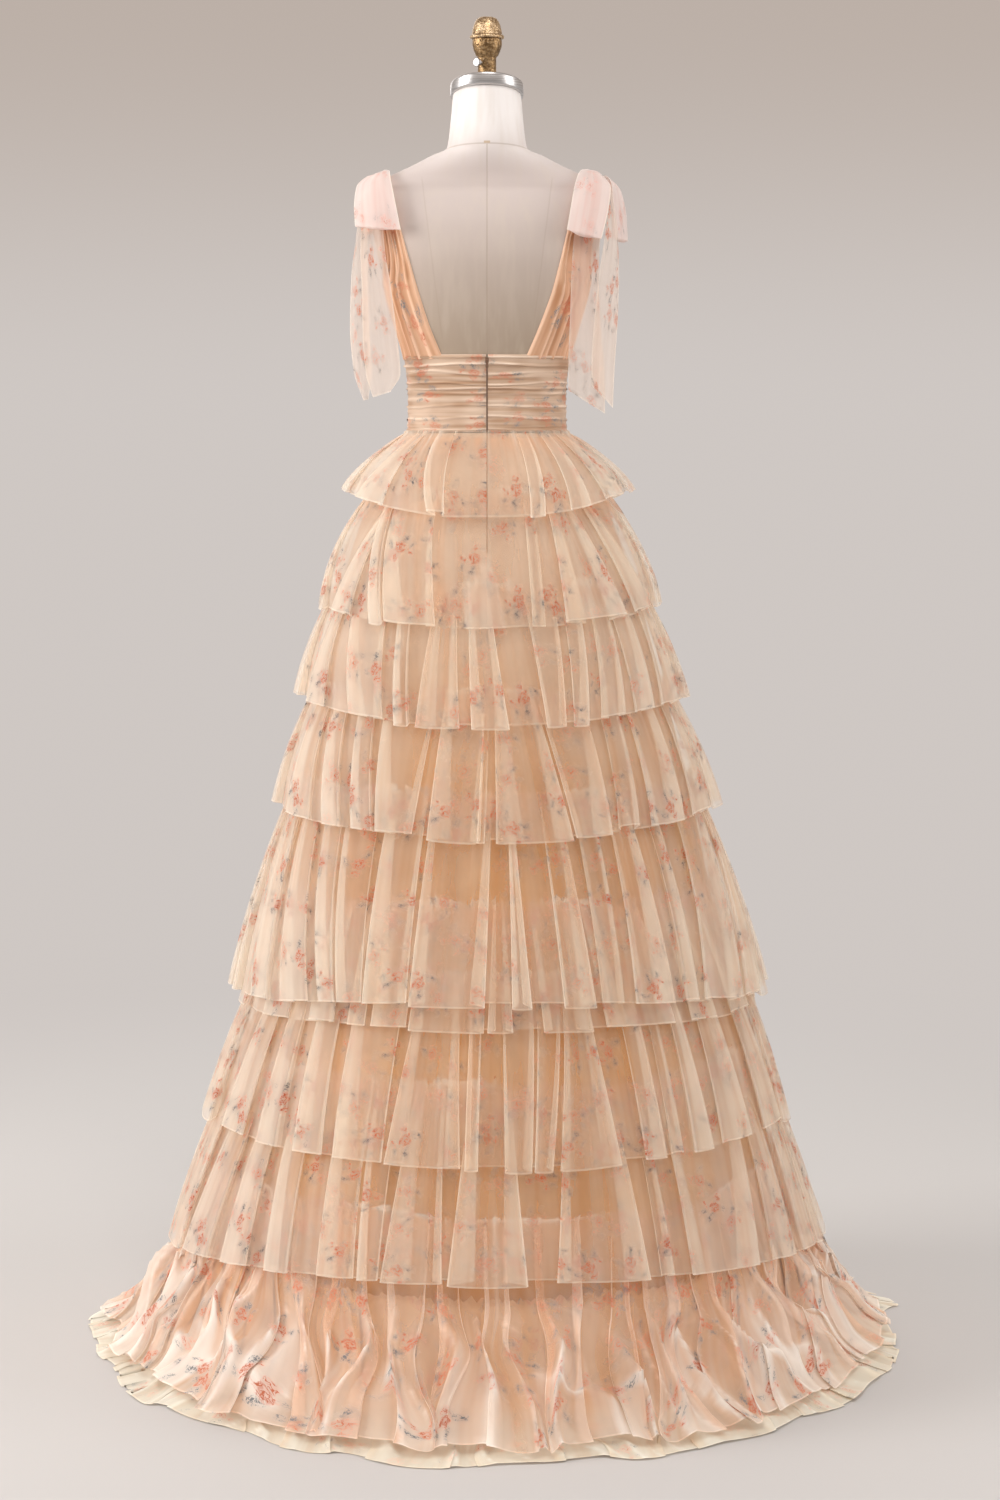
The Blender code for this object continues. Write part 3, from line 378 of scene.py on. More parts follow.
def tulle_material(name, colour, solid, deep, dense_gain=0.30, hem_gain=0.25, glow=0.35,
                   coral=1.7, slate=1.5, rim=HEM_AND_HIGHLIGHT_TONE, inner=None):
    """Sheer printed net: solid is its share of threads, deep the painted shade of its creases, inner a
    darker golden tone higher up, away from its hem, painted shade of the hollow there.
    """
    made, tree = new_material(name)
    place = on_cloth(tree)
    thick = field(tree, "dense")
    gathers_and_shade = field(tree, "gathers_and_shade")
    from_hem = add(tree, "SeparateXYZ", Vector=place).outputs[1]
    creases = noise(tree, mapped(tree, place, (42.0, 2.4, 1.0)), 1.0, 2.0, 0.55, "2D")
    cloudy = noise(tree, place, 14.0, 1.0, 0.5, "2D")
    # Darker deep tone in the noise's creases: painted shade.
    tone = blend(tree, ramp(tree, creases, 0.25, 0.60), deep, colour)
    # Painted shade, with the denser gathers' colour, in the band under the heading.
    tone = blend(tree, times(tree, gathers_and_shade, 0.75, clamp=True), tone, HEADING_GATHERS_SHADE_TONE)
    # Paler where dense: doubled net at hems and fold edges, and painted highlight on crests and on the +x
    # side.
    tone = blend(tree, ramp(tree, thick, 0.15, 0.90, 0.0, 0.85), tone, rim)
    share = plus(tree, solid - 0.07, creases, 0.14)
    share = plus(tree, share, calc(tree, "SUBTRACT", cloudy, 0.5), 0.12)
    share = plus(tree, share, thick, dense_gain)
    share = plus(tree, share, gathers_and_shade, 0.22)
    # Higher up, away from the hem, the net takes the inner tone and more threads: painted shade of the
    # hollow under the train.
    layered = ramp(tree, from_hem, 0.055, 0.140)
    if inner:
        tone = blend(tree, layered, tone, inner)
    ink, amount = printed(tree, place, tone, coral, slate)
    share = plus(tree, share, amount, 0.60)
    if inner:
        share = plus(tree, share, layered, 0.35)
    hem = ramp(tree, from_hem, 0.0012, 0.0032, hem_gain, 0.0)
    share = calc(tree, "ADD", share, hem, clamp=True)
    shine = add(tree, "BsdfPrincipled", Base_Color=ink, Roughness=0.85, Specular_IOR_Level=0.15)
    through = add(tree, "BsdfTranslucent", Color=ink)
    lit = add(tree, "MixShader", i0=glow, i1=shine.outputs[0], i2=through.outputs[0])
    clear = add(tree, "BsdfTransparent", Color=(1.0, 0.982, 0.960))
    whole = add(tree, "MixShader", i0=share, i1=clear.outputs[0], i2=lit.outputs[0])
    add(tree, "OutputMaterial", Surface=whole.outputs[0])
    return made


def layered_material(name, colour, deep, across, along, coral=1.5, slate=1.6):
    """Several layers of the printed net gathered together over a backing: no longer see-through. Its deep
    tone is painted shade in the low streaks and in the hollows that dense marks.
    """
    made, tree = new_material(name)
    place = on_cloth(tree)
    streaks = noise(tree, mapped(tree, place, (across, along, 1.0)), 1.0, 2.0, 0.55, "2D")
    cloudy = noise(tree, place, 16.0, 1.0, 0.5, "2D")
    # deep is painted shade: in the low streaks, and where dense marks hollows.
    tone = blend(tree, ramp(tree, streaks, 0.30, 0.62), deep, colour)
    tone = blend(tree, times(tree, field(tree, "dense"), 0.75), tone, deep)
    tone = blend(tree, ramp(tree, cloudy, 0.35, 0.7, 0.0, 0.35), tone, colour)
    ink, _ = printed(tree, place, tone, coral, slate)
    return opaque(made, ink, 0.8, streaks, 0.35, 0.0012, Specular_IOR_Level=0.2, Sheen_Weight=0.15)


def lining_material():
    """A plain woven cloth, paler near the waist, darker and redder lower down: painted shade under the
    tiers.
    """
    made, tree = new_material("lining")
    place = in_space(tree)
    cloudy = ramp(tree, noise(tree, mapped(tree, place, (9.0, 9.0, 1.6))), 0.35, 0.65)
    weave = noise(tree, mapped(tree, place, (900.0, 900.0, 900.0)), detail=1.0)
    height = add(tree, "SeparateXYZ", Vector=place).outputs[2]
    # Darker, redder tone lower down: painted shade under the tiers and the tint of light through the net.
    low = blend(tree, cloudy, (0.49, 0.215, 0.046), (0.57, 0.268, 0.072))
    high = blend(tree, cloudy, (0.57, 0.375, 0.250), (0.64, 0.430, 0.295))
    tone = blend(tree, ramp(tree, height, 0.70, 1.15), low, high)
    return opaque(made, tone, 0.6, weave, 0.2, 0.0005, Specular_IOR_Level=0.3, Sheen_Weight=0.1)


def linen_material():
    """Padded cover: fine plain weave, a centre seam, princess seams, the neck's seam and its small tab;
    painted shade darkens it towards the waist and painted light makes the neck pale.
    """
    made, tree = new_material("linen")
    place = in_space(tree)
    across, back, height = add(tree, "SeparateXYZ", Vector=place).outputs
    threads = [
        add(tree, "TexWave", {"bands_direction": way}, Vector=place, Scale=420.0, Distortion=0.6)
        for way in "XZ"
    ]
    grain = times(tree, *(thread.outputs["Fac"] for thread in threads))
    slub = noise(tree, mapped(tree, place, (60.0, 60.0, 9.0)), rough=0.6)
    side = calc(tree, "ABSOLUTE", across)
    centre_seam = ramp(tree, side, 0.0004, 0.0014, 1.0, 0.0)
    princess_at = add(tree, "MapRange", i0=height, i1=1.30, i2=1.66, i3=0.046, i4=0.092).outputs[0]
    princess_seam = ramp(tree, apart(tree, side, princess_at), 0.0004, 0.0014, 1.0, 0.0)
    princess_seam = times(tree, princess_seam, ramp(tree, height, 1.655, 1.665, 1.0, 0.0))
    above_seam = calc(tree, "SUBTRACT", height, plus(tree, 1.7015, back, 0.11))
    below_neck = ramp(tree, above_seam, 0.0, 0.0012, 1.0, 0.0)
    neck_seam = ramp(tree, calc(tree, "ABSOLUTE", above_seam), 0.0005, 0.0016, 0.9, 0.0)
    seams = calc(tree, "MAXIMUM", times(tree, centre_seam, below_neck), times(tree, princess_seam, 0.45))
    seams = calc(tree, "MAXIMUM", seams, neck_seam)
    tab = ramp(tree, apart(tree, above_seam, 0.0018), 0.0014, 0.0020, 1.0, 0.0)
    tab = times(tree, tab, ramp(tree, side, 0.0040, 0.0048, 1.0, 0.0))
    tab = times(tree, tab, ramp(tree, back, 0.0, 0.01))
    # Darker towards the waist, palest on the neck: painted shade and painted light.
    tone = blend(tree, ramp(tree, height, 1.36, 1.70), (0.42, 0.325, 0.240), (0.64, 0.545, 0.510))
    tone = blend(tree, ramp(tree, height, 1.66, 1.76), tone, (0.95, 0.890, 0.860))
    tone = blend(tree, ramp(tree, slub, 0.4, 0.75, 0.0, 0.25), tone, (0.66, 0.56, 0.47))
    tone = blend(tree, times(tree, seams, 0.45), tone, (0.42, 0.32, 0.25))
    tone = blend(tree, tab, tone, (0.60, 0.46, 0.34))
    return opaque(made, tone, 0.9, plus(tree, grain, seams, -2.2), 0.25, 0.0006, Specular_IOR_Level=0.25)


def steel_material():
    """Brushed round the ring."""
    made, tree = new_material("brushed_steel")
    lines = noise(tree, mapped(tree, in_space(tree), (6.0, 6.0, 1800.0)), rough=0.6)
    tone = blend(tree, ramp(tree, lines, 0.3, 0.7), (0.50, 0.49, 0.49), (0.66, 0.65, 0.65))
    return opaque(made, tone, ramp(tree, lines, 0.3, 0.7, 0.24, 0.40), lines, 0.12, 0.0003, Metallic=1.0)


def bronze_material(name, bright, dark, worn):
    """Aged, hammered bronze with pale speckles worn onto it."""
    made, tree = new_material(name)
    place = in_space(tree)
    dents = add(tree, "TexVoronoi", Vector=place, Scale=330.0, Randomness=1.0).outputs["Distance"]
    stain = noise(tree, place, 210.0, 3.0, 0.65)
    speck = noise(tree, place, 620.0, 2.0, 0.6)
    tone = blend(tree, ramp(tree, stain, 0.35, 0.65), dark, bright)
    tone = blend(tree, ramp(tree, speck, 0.55, 0.68, 0.0, worn), tone, (0.80, 0.66, 0.48))
    rough = ramp(tree, stain, 0.3, 0.7, 0.30, 0.52)
    return opaque(made, tone, rough, plus(tree, dents, speck, 0.5), 0.55, 0.0010, Metallic=1.0)


def plain_material(name, colour, rough, metal, grain):
    """A satin finish with a fine grain: the iron stand and the brown zip."""
    made, tree = new_material(name)
    speck = noise(tree, in_space(tree), grain, 2.0, 0.6)
    pale = tuple(min(1.0, c * 1.5 + 0.01) for c in colour)
    tone = blend(tree, ramp(tree, speck, 0.35, 0.7), colour, pale)
    return opaque(made, tone, rough, speck, 0.15, 0.0003, Metallic=metal)


# Each net's deep colour is painted shade in its creases.
TULLE = tulle_material("tulle", (1.0, 0.935, 0.815), 0.285, (0.99, 0.815, 0.655), 0.36, glow=0.47)
TULLE_TRAIN = tulle_material(
    "tulle_train", (1.0, 0.815, 0.685), 0.40, (0.97, 0.630, 0.440), 0.50, 0.25, 0.18, 2.0, 1.9,
    rim=(1.0, 0.915, 0.830),
)
# tulle_under's inner tone is painted shade of the hollow under the train.
TULLE_UNDER = tulle_material(
    "tulle_under", (1.0, 0.900, 0.730), 0.68, (1.0, 0.830, 0.630), 0.15, 0.15, 0.08, 0.9, 0.9,
    rim=(1.0, 0.940, 0.810), inner=(0.74, 0.450, 0.240),
)
TULLE_BOW = tulle_material("tulle_bow", (1.0, 0.870, 0.775), 0.52, (0.96, 0.800, 0.690), 0.30, 0.30, 0.45)
TULLE_LOOP = tulle_material(
    "tulle_loop", (0.95, 0.825, 0.780), 0.84, (0.95, 0.740, 0.680), 0.16, 0.16, 0.30, 0.80, 0.60,
)
# Each second colour is painted shade in the creases and hollows.
RUCHED = layered_material("tulle_ruched", (0.90, 0.715, 0.570), (0.45, 0.270, 0.165), 4.0, 70.0)
KNOTTED = layered_material("tulle_knotted", (0.98, 0.780, 0.700), (0.74, 0.480, 0.380), 60.0, 60.0, 0.7, 0.4)
GATHERED = layered_material("tulle_gathered", (0.96, 0.640, 0.450), (0.52, 0.250, 0.125), 80.0, 4.0)
LINING = lining_material()
LINEN = linen_material()
STEEL = steel_material()
BRONZE = bronze_material("bronze", (0.46, 0.300, 0.150), (0.20, 0.115, 0.050), 0.35)
BRONZE_DOME = bronze_material("bronze_dome", (0.66, 0.490, 0.310), (0.36, 0.230, 0.115), 0.65)
IRON = plain_material("iron", (0.030, 0.030, 0.032), 0.5, 0.8, 400.0)
ZIP = plain_material("zip_brown", (0.160, 0.085, 0.050), 0.5, 0.0, 900.0)
# A paler copy of the zip's brown for the thin line between the tiers: painted light against the shade there.
ZIP_PAINTED_LIGHT = plain_material("zip_brown_painted_light", (0.30, 0.185, 0.115), 0.6, 0.0, 900.0)


# Curves and meshes.

def smooth_at(rows, where):
    """Each column of a table at these places, by a curve that doesn't overshoot its rows."""
    rows = sorted(rows, key=lambda row: row[0])
    table = np.array(rows, float)
    x, ys = table[:, 0], table[:, 1:]
    step = np.diff(x)
    slope = np.diff(ys, axis=0) / step[:, None]
    turn = np.zeros_like(ys)
    turn[0], turn[-1] = slope[0], slope[-1]
    before, after = slope[:-1], slope[1:]
    same = before * after > 0
    turn[1:-1] = np.where(same, 2 * before * after / np.where(same, before + after, 1.0), 0.0)
    where = np.clip(np.asarray(where, float), x[0], x[-1])
    index = np.clip(np.searchsorted(x, where, side="right") - 1, 0, len(step) - 1)
    part = ((where - x[index]) / step[index])[..., None]
    wide = step[index][..., None]
    a, b = ys[index], ys[index + 1]
    ta, tb = turn[index] * wide, turn[index + 1] * wide
    square, cube = part ** 2, part ** 3
    return (
        (2 * cube - 3 * square + 1) * a + (cube - 2 * square + part) * ta
        + (3 * square - 2 * cube) * b + (cube - square) * tb
    )


def linear_at(rows, where):
    """Each column of a table at these places, by straight lines between its rows."""
    x, *columns = zip(*sorted(rows))
    return [np.interp(where, x, column) for column in columns]


def soft_step(value):
    value = np.clip(value, 0.0, 1.0)
    return value * value * (3 - 2 * value)


def hum(places, seed, octaves=((1, 1.0), (2, 0.7), (3, 0.5), (5, 0.35), (8, 0.2))):
    """A smooth wave round the ring, the same each run, from about -1 to 1."""
    dice = random.Random(seed)
    total = np.zeros_like(places)
    for count, size in octaves:
        total += size * np.sin(count * places + dice.uniform(0, 2 * math.pi))
    return total / sum(size for _, size in octaves)


def linked(name, data):
    """A new object in the scene."""
    made = bpy.data.objects.new(name, data)
    bpy.context.scene.collection.objects.link(made)
    return made


def grid_mesh(name, points, material, flat_u, flat_v, wrap=False, dense=None, flip=False, gathers_and_shade=None):
    """A sheet through a grid of points, rows by columns, with its flat cloth's coordinates.

    wrap closes it to a ring, and flip turns its faces over. dense and tight are fields for its material.
    """
    rows, columns = points.shape[:2]
    if wrap:
        flat_u = np.append(flat_u, flat_u[-1] + (flat_u[-1] - flat_u[-2]))
    r, c = np.meshgrid(np.arange(rows - 1), np.arange(len(flat_u) - 1), indexing="ij")
    after = (c + 1) % columns
    corners = [r * columns + c, r * columns + after, (r + 1) * columns + after, (r + 1) * columns + c]
    us = [flat_u[c], flat_u[c + 1], flat_u[c + 1], flat_u[c]]
    vs = [flat_v[r], flat_v[r], flat_v[r + 1], flat_v[r + 1]]
    if flip:
        corners, us, vs = corners[::-1], us[::-1], vs[::-1]
    faces = np.stack(corners, -1).reshape(-1, 4)
    mesh = bpy.data.meshes.new(name)
    mesh.vertices.add(rows * columns)
    mesh.vertices.foreach_set("co", points.reshape(-1).astype(np.float32))
    mesh.loops.add(faces.size)
    mesh.loops.foreach_set("vertex_index", faces.reshape(-1).astype(np.int32))
    mesh.polygons.add(len(faces))
    mesh.polygons.foreach_set("loop_start", np.arange(0, faces.size, 4, dtype=np.int32))
    mesh.polygons.foreach_set("use_smooth", np.ones(len(faces), bool))
    mesh.update(calc_edges=True)
    places = np.stack([np.stack(us, -1), np.stack(vs, -1)], -1).reshape(-1)
    mesh.uv_layers.new(name="cloth").data.foreach_set("uv", places.astype(np.float32))
    for label, field in (("dense", dense), ("gathers_and_shade", gathers_and_shade)):
        values = mesh.attributes.new(label, "FLOAT", "POINT")
        field = np.zeros(rows * columns) if field is None else field.reshape(-1)
        values.data.foreach_set("value", field.astype(np.float32))
    mesh.materials.append(material)
    return linked(name, mesh)


def run_of(points):
    """The distance along a line of points, from 0."""
    return np.concatenate([[0], np.cumsum(np.linalg.norm(np.diff(points, axis=0), axis=1))])


def place(made, slot, *nodes):
    """Rides on the gown's body and stands for its CAD nodes; slot is not used."""
    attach(made, BODY)
    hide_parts(*nodes)


# The form's and the skirt's surfaces.

SLOPE_STEP = 0.0008

def form_rows(z):
    """Half width, depth behind and in front, and squareness of the form at these heights."""
    return np.moveaxis(smooth_at(FORM_ROWS, z), -1, 0)


def ring_at(angle, half, back, front, square):
    """x and y on a ring, from an ellipse at squareness 2 towards a box above it."""
    across, deep = np.cos(angle), np.sin(angle)
    depth = np.where(deep > 0, back, front)
    power = 2 / square
    return np.sign(across) * half * np.abs(across) ** power, np.sign(deep) * depth * np.abs(deep) ** power


def form_at(turn, z, way, lift):
    """Points of the form by section angle from its side, moved out by lift."""
    turn, z, lift = np.broadcast_arrays(turn, z, lift)

    def section(height):
        half, back, front, square = form_rows(height)
        return half, back if way > 0 else front, square

    half, depth, square = section(z)
    x = half * np.clip(np.cos(turn), 0, 1) ** (2 / square)
    y = depth * np.clip(np.sin(turn), 0, 1) ** (2 / square)

    def fullness(height):
        """How far the point lies out from the axis at another height, as a share of the form there."""
        half, depth, square = section(height)
        return (x / half) ** square + (y / depth) ** square

    gx = square / half * (x / half) ** (square - 1)
    gy = square / depth * (y / depth) ** (square - 1)
    gz = (fullness(z + SLOPE_STEP) - fullness(z - SLOPE_STEP)) / (2 * SLOPE_STEP)
    normal = np.stack([gx, way * gy, gz], -1)
    normal /= np.linalg.norm(normal, axis=-1, keepdims=True)
    return np.stack([x, way * y, z], -1) + normal * lift[..., None]


def form_turn(x, z):
    """The section angle at which the form is x wide of its centre."""
    half, _, _, square = form_rows(z)
    return np.arccos(np.clip(x / half, 0, 1) ** (square / 2))


def ridge_height(x):
    """The height of the shoulder at x from the centre."""
    above = sorted((row[1], row[0]) for row in FORM_ROWS if row[0] >= SHOULDER_END)
    return np.interp(x, *zip(*above))


def skirt_at(angle, half, back, front, z):
    """Points of a ring of the skirt; every argument may be an array."""
    x, y = ring_at(angle, half, back, front, linear_at(SQUARE_ROWS, z)[0])
    x = x + linear_at(SWAY_ROWS, z)[0]
    return np.stack([x, y, z + 0 * x], -1)


def outward(angle, half, back, front):
    depth = np.where(np.sin(angle) > 0, back, front)
    normal = np.stack([np.cos(angle) / half, np.sin(angle) / depth, 0 * angle], -1)
    return normal / np.linalg.norm(normal, axis=-1, keepdims=True)


# Gathered tiers.

def back_turn(x, half):
    """The angle on the back of a ring of this half width at x from its centre."""
    return math.acos(max(-0.985, min(0.985, x / half)))


def all_panels(dice, name, half, top_half, radius, narrow, broad):
    """Panels right round a tier: the back's own, and similar ones on the sides and front."""
    panels = []
    for left, right, top_left, top_right, depth, lift in BACK_PANELS[name]:
        hem = back_turn(left / MM, half), back_turn(right / MM, half)
        top = back_turn(top_left / MM, top_half), back_turn(top_right / MM, top_half)
        panels.append((*hem, *top, depth, lift / MM))
    start, end = panels[-1][1], panels[0][0] + 2 * math.pi
    while True:
        start += dice.choice((0.35, 0.6, 1.0)) * narrow / radius
        wide = dice.choice((0.35, 0.7, 1.0, 1.0, 1.3)) * dice.uniform(narrow, broad) / radius
        if start + wide > end - 0.5 * narrow / radius:
            return panels
        squeeze = dice.uniform(0.02, 0.16) * wide
        lean = dice.uniform(-0.02, 0.02)
        depth, lift = dice.uniform(0.6, 1.0), dice.uniform(-0.003, 0.007)
        top = start + squeeze + lean, start + wide - squeeze + lean
        panels.append((start, start + wide, *top, depth, lift))
        start += wide


# One edge of a panel, where the cloth doubles back: share of its overlap and how far it stands out.
PANEL_EDGE = (
    (1.0, 0.04), (0.96, 0.12), (0.80, 0.24), (0.50, 0.40),
    (0.20, 0.56), (0.03, 0.68), (0.0, 0.80), (0.10, 0.92),
)


def fold_plan(dice, panels, radius, start, step):
    """Columns of cloth round a tier: hem angle, top angle, pull under a panel, stand, lift and crest."""
    panels = [
        [*(angle + (ends[0] < start) * 2 * math.pi for angle in ends), depth, lift]
        for *ends, depth, lift in panels
    ]
    panels.sort(key=lambda panel: panel[0])
    columns = []

    def flat_run(hem_a, hem_b, top_a, top_b, pull_a, pull_b, stand, lift):
        count = max(2, round(abs(hem_b - hem_a) * radius / step))
        for number in range(1, count):
            part = number / count
            swell = 0.10 * math.sin(math.pi * part) * (1 if stand > 0.5 else -1)
            columns.append((
                hem_a + (hem_b - hem_a) * part, top_a + (top_b - top_a) * part,
                pull_a + (pull_b - pull_a) * part, stand + swell, lift, 0.0,
            ))

    before = (start, start, 0.0)
    columns.append((start, start, 0.0, 0.04, 0.0, 0.0))
    for a, b, c, d, depth, lift in panels:
        fullness = min(1.0, 0.030 * radius ** -1 / (b - a) + 0.55)
        over = min(0.50 * (b - a), dice.uniform(0.18, 0.52) * (b - a) * fullness)
        under = min(0.94 * (b - a) - over, dice.uniform(0.12, 0.42) * (b - a) * fullness)
        flat_run(before[0], a, before[1], c, before[2], over, 0.02, 0.0)
        for share, stand in PANEL_EDGE:
            columns.append((a, c, share * over, stand * depth, lift * stand, float(share < 0.05)))
        flat_run(a, b, c, d, 0.10 * over, -0.10 * under, 0.92 * depth, lift)
        for share, stand in reversed(PANEL_EDGE):
            columns.append((b, d, -share * under, stand * depth, lift * stand, float(share < 0.05)))
        before = (b, d, -under)
    flat_run(before[0], start + 2 * math.pi, before[1], start + 2 * math.pi, before[2], 0.0, 0.02, 0.0)
    return [np.array(values) for values in zip(*columns)]


def gathers(flat, seed, spacing):
    """Fine irregular gathers along a heading."""
    dice = random.Random(seed)
    wave = np.zeros_like(flat)
    for scale, size in ((1.0, 1.0), (0.61, 0.7), (1.73, 0.6)):
        wave += size * np.sin(2 * math.pi * flat / (spacing * scale) + dice.uniform(0, 6.28))
    return wave / 2.3


def denseness(points, normal):
    """How far the cloth is turned edge on to its own outward direction, from 0 to 1."""
    along = np.roll(points, -1, axis=1) - np.roll(points, 1, axis=1)
    along[:, 0], along[:, -1] = along[:, 1], along[:, -2]
    flat = along - (along * normal).sum(-1, keepdims=True) * normal
    share = np.linalg.norm(flat, axis=-1) / np.maximum(np.linalg.norm(along, axis=-1), 1e-9)
    return np.clip((1 / np.maximum(share, 0.12) - 1) / 4, 0, 1)


# Rows of a heading above its stitches, as shares of the cloth's drop, and how far up a frill each is.
FRILL_ROWS = (-0.02, -0.012, -0.004)
FRILL_SHARES = (1.0, 0.75, 0.4)
PLAIN_ROWS = (-0.02, -0.01)


def tuck_heading(points, normal):
    """The first tier's heading goes up and in under the waistband."""
    points[0] += np.array((0, 0, 0.0042)) - 0.0030 * normal[0]
    points[1] += np.array((0, 0, 0.0026)) - 0.0006 * normal[1]


def frill_heading(points, normal, frill, fine, rough):
    """The cloth above the stitches stands up and out in a short frill."""
    for row, up in enumerate(FRILL_SHARES):
        points[row] += normal[row] * (0.0032 + 0.0034 * fine + 0.0034 * rough)[:, None] * up
        points[row, :, 2] += frill * up * (1 + 0.75 * rough + 0.5 * fine)


def frill_dense(dense, seed, angle, inside, fine, rough):
    """In some stretches the frill's puffs look thick, and in the others it is nearly clear."""
    shown = soft_step(0.5 + 0.9 * hum(angle, seed + 14, ((4, 1), (7, 1), (11, 0.8), (17, 0.6))))
    hidden = 1 - shown
    puff = np.clip(0.5 + 0.6 * fine, 0, 1.2) * np.clip(0.6 + 0.5 * rough, 0.1, 1.1)
    dense[0] = -0.9
    dense[1] = (0.6 + 1.9 * puff) * shown - 0.9 * hidden
    dense[2] = (0.2 + 2.0 * puff) * shown - 0.8 * hidden
    dense[3] += (1.1 * puff - 0.1) * shown - 0.7 * hidden
    dense[4:] -= (0.15 + 0.55 * hidden) * (1 - inside[4:]) ** 7


def drape(tier, seed, profile, depth, narrow, broad, rows, material, frill, step, sway,
          slit=None, extra=None, spread=0.0, pale=0.62):
    """A ring of cloth in folds, with its flat width and length.

    profile(part, angle) gives its mean ring, depth how far the folds stand out, narrow and broad their
    widths, step the flat width of a column, sway how far the heading wanders, slit the foot of the zip's
    opening, extra a further change of shape, spread how far the folds open at the hem, and pale how thick
    and pale the net looks at the sides: partly denser net seen edge on, partly painted light, strongest on
    the +x side under the key lamp.
    """
    dice = random.Random(seed)
    ring = np.linspace(0, 2 * math.pi, 721)
    half, back, front, z = profile(np.ones_like(ring), ring)
    hem = skirt_at(ring, half, back, front, z)
    radius = float(np.linalg.norm(np.diff(hem, axis=0), axis=1).sum()) / (2 * math.pi)
    top_half = float(profile(np.array(0.2), np.array(0.0))[0])
    panels = all_panels(dice, tier, float(half[0]), top_half, radius, narrow, broad)
    if slit is None:
        start = (panels[-1][1] + panels[0][0]) / 2 - math.pi
    else:
        start = math.pi / 2
    angle0, top, pull, out, lift, crest = fold_plan(dice, panels, radius, start, step)
    heading = FRILL_ROWS if frill else PLAIN_ROWS
    part = np.concatenate([heading, np.linspace(0, 1, rows)])[:, None]
    inside = np.clip(part, 0, 1)
    lean = np.clip((1 - inside) / 0.8, 0, 1.25)
    shut = 1 - spread * soft_step((inside - 0.36) / 0.34)
    angle = angle0 + (top - angle0) * lean + pull * (0.40 + 0.60 * inside) * shut
    half, back, front, z = profile(inside, angle)
    z = z + sway * (1 - inside) ** 4 * hum(angle0, seed + 12, ((5, 1), (9, 0.9), (14, 0.8), (23, 0.5)))
    z = z + inside ** 2 * (lift[None, :] + 0.0022 * hum(angle0, seed + 9, ((3, 1), (7, 0.8), (13, 0.6))))
    points = skirt_at(angle, half, back, front, z)
    normal = outward(angle, half, back, front)
    grown = (0.30 + 0.70 * inside) * soft_step(inside / 0.10)
    waves = 0.16 * hum(angle0, seed + 3, ((9, 1), (17, 1), (31, 0.8)))
    stand = depth * grown * shut * (1.5 * out[None, :] + waves - 0.75)
    flat0 = run_of(points[-1])
    fine = gathers(flat0, seed + 1, 0.031)
    rough = gathers(flat0, seed + 2, 0.012)
    stand = stand + 0.0016 * fine[None, :] * (1 - inside) ** 2.5 + 0.0016 * (1 - inside)
    points = points + normal * stand[..., None]
    dense = np.zeros(points.shape[:2])
    if frill:
        frill_heading(points, normal, frill, fine, rough)
    else:
        tuck_heading(points, normal)
    if extra is not None:
        points, dense = extra(points, normal, inside, angle)
    if slit is not None:
        points = cut_slit(points, slit)
    # Pale lines along the panels' fold edges: doubled net, partly painted highlight.
    crests = 0.55 * crest[None, :] * (0.4 + 0.6 * inside) * (0.55 + 0.45 * shut ** 2)
    dense = dense + 0.7 * denseness(points, normal) + crests
    # Paler at the sides, most on the +x side under the key lamp: partly denser net seen edge on, partly
    # painted light.
    side = np.cos(angle)
    dense = dense + pale * (1 + 0.32 * side) * soft_step((np.abs(side) - 0.28) / 0.5) * (0.6 + 0.4 * inside)
    dense = dense + 0.8 * np.clip(fine, 0, 1) ** 2 * (1 - inside) ** 3
    if frill:
        frill_dense(dense, seed, angle0, inside, fine, rough)
    drop = np.linalg.norm(np.diff(points, axis=0), axis=2).mean(axis=1)
    down = np.concatenate([[0], np.cumsum(drop)])
    # A band just under the heading that the material paints darker orange: denser gathers, and painted shade
    # under the frill.
    gathers_and_shade = soft_step((down - 0.004) / 0.010) * (1 - soft_step((down - 0.014) / 0.050))
    gathers_and_shade = gathers_and_shade[:, None] * (0.75 - 0.35 * fine + 0.25 * gathers(flat0, seed + 4, 0.019))[None, :]
    flat_v = down[-1] - down
    made = grid_mesh(tier + "_tulle", points, material, flat0, flat_v, slit is None, dense, gathers_and_shade=gathers_and_shade)
    return made, flat0[-1], down[-1]


def sew_tier(tier, slot, made, width, length):
    place(made, slot, tier)


def zip_flare(points, normal, inside, angle):
    """Below the zip's end the freed cloth opens into a narrow gore that stands out."""
    below = ZIP_BOTTOM - points[..., 2]
    left = np.interp(below, (0.0, 0.043, 0.110), (0.0, 0.030, 0.036))
    right = np.interp(below, (0.0, 0.043, 0.110), (0.0, 0.014, 0.024))
    x = points[..., 0] - linear_at(SWAY_ROWS, points[..., 2])[0]
    within = soft_step((left - x) / 0.003) * soft_step((x + right) / 0.003)
    within = within * (below > 0) * (points[..., 1] > 0)
    return points + normal * (0.007 * within)[..., None], 0.45 * within


def cut_slit(points, foot):
    """Opens the ring at the centre back down to this height, where its first and last columns meet."""
    first, last = points[:, 0], points[:, -1]
    middle = (first + last) / 2
    apart = np.where(middle[:, 2] > foot, SLIT_HALF, 0.0)
    for column, sign in ((0, -1), (-1, 1)):
        points[:, column] = middle
        points[:, column, 0] = sign * apart
    return points


def lining_at(z):
    return linear_at(LINING_ROWS, z)


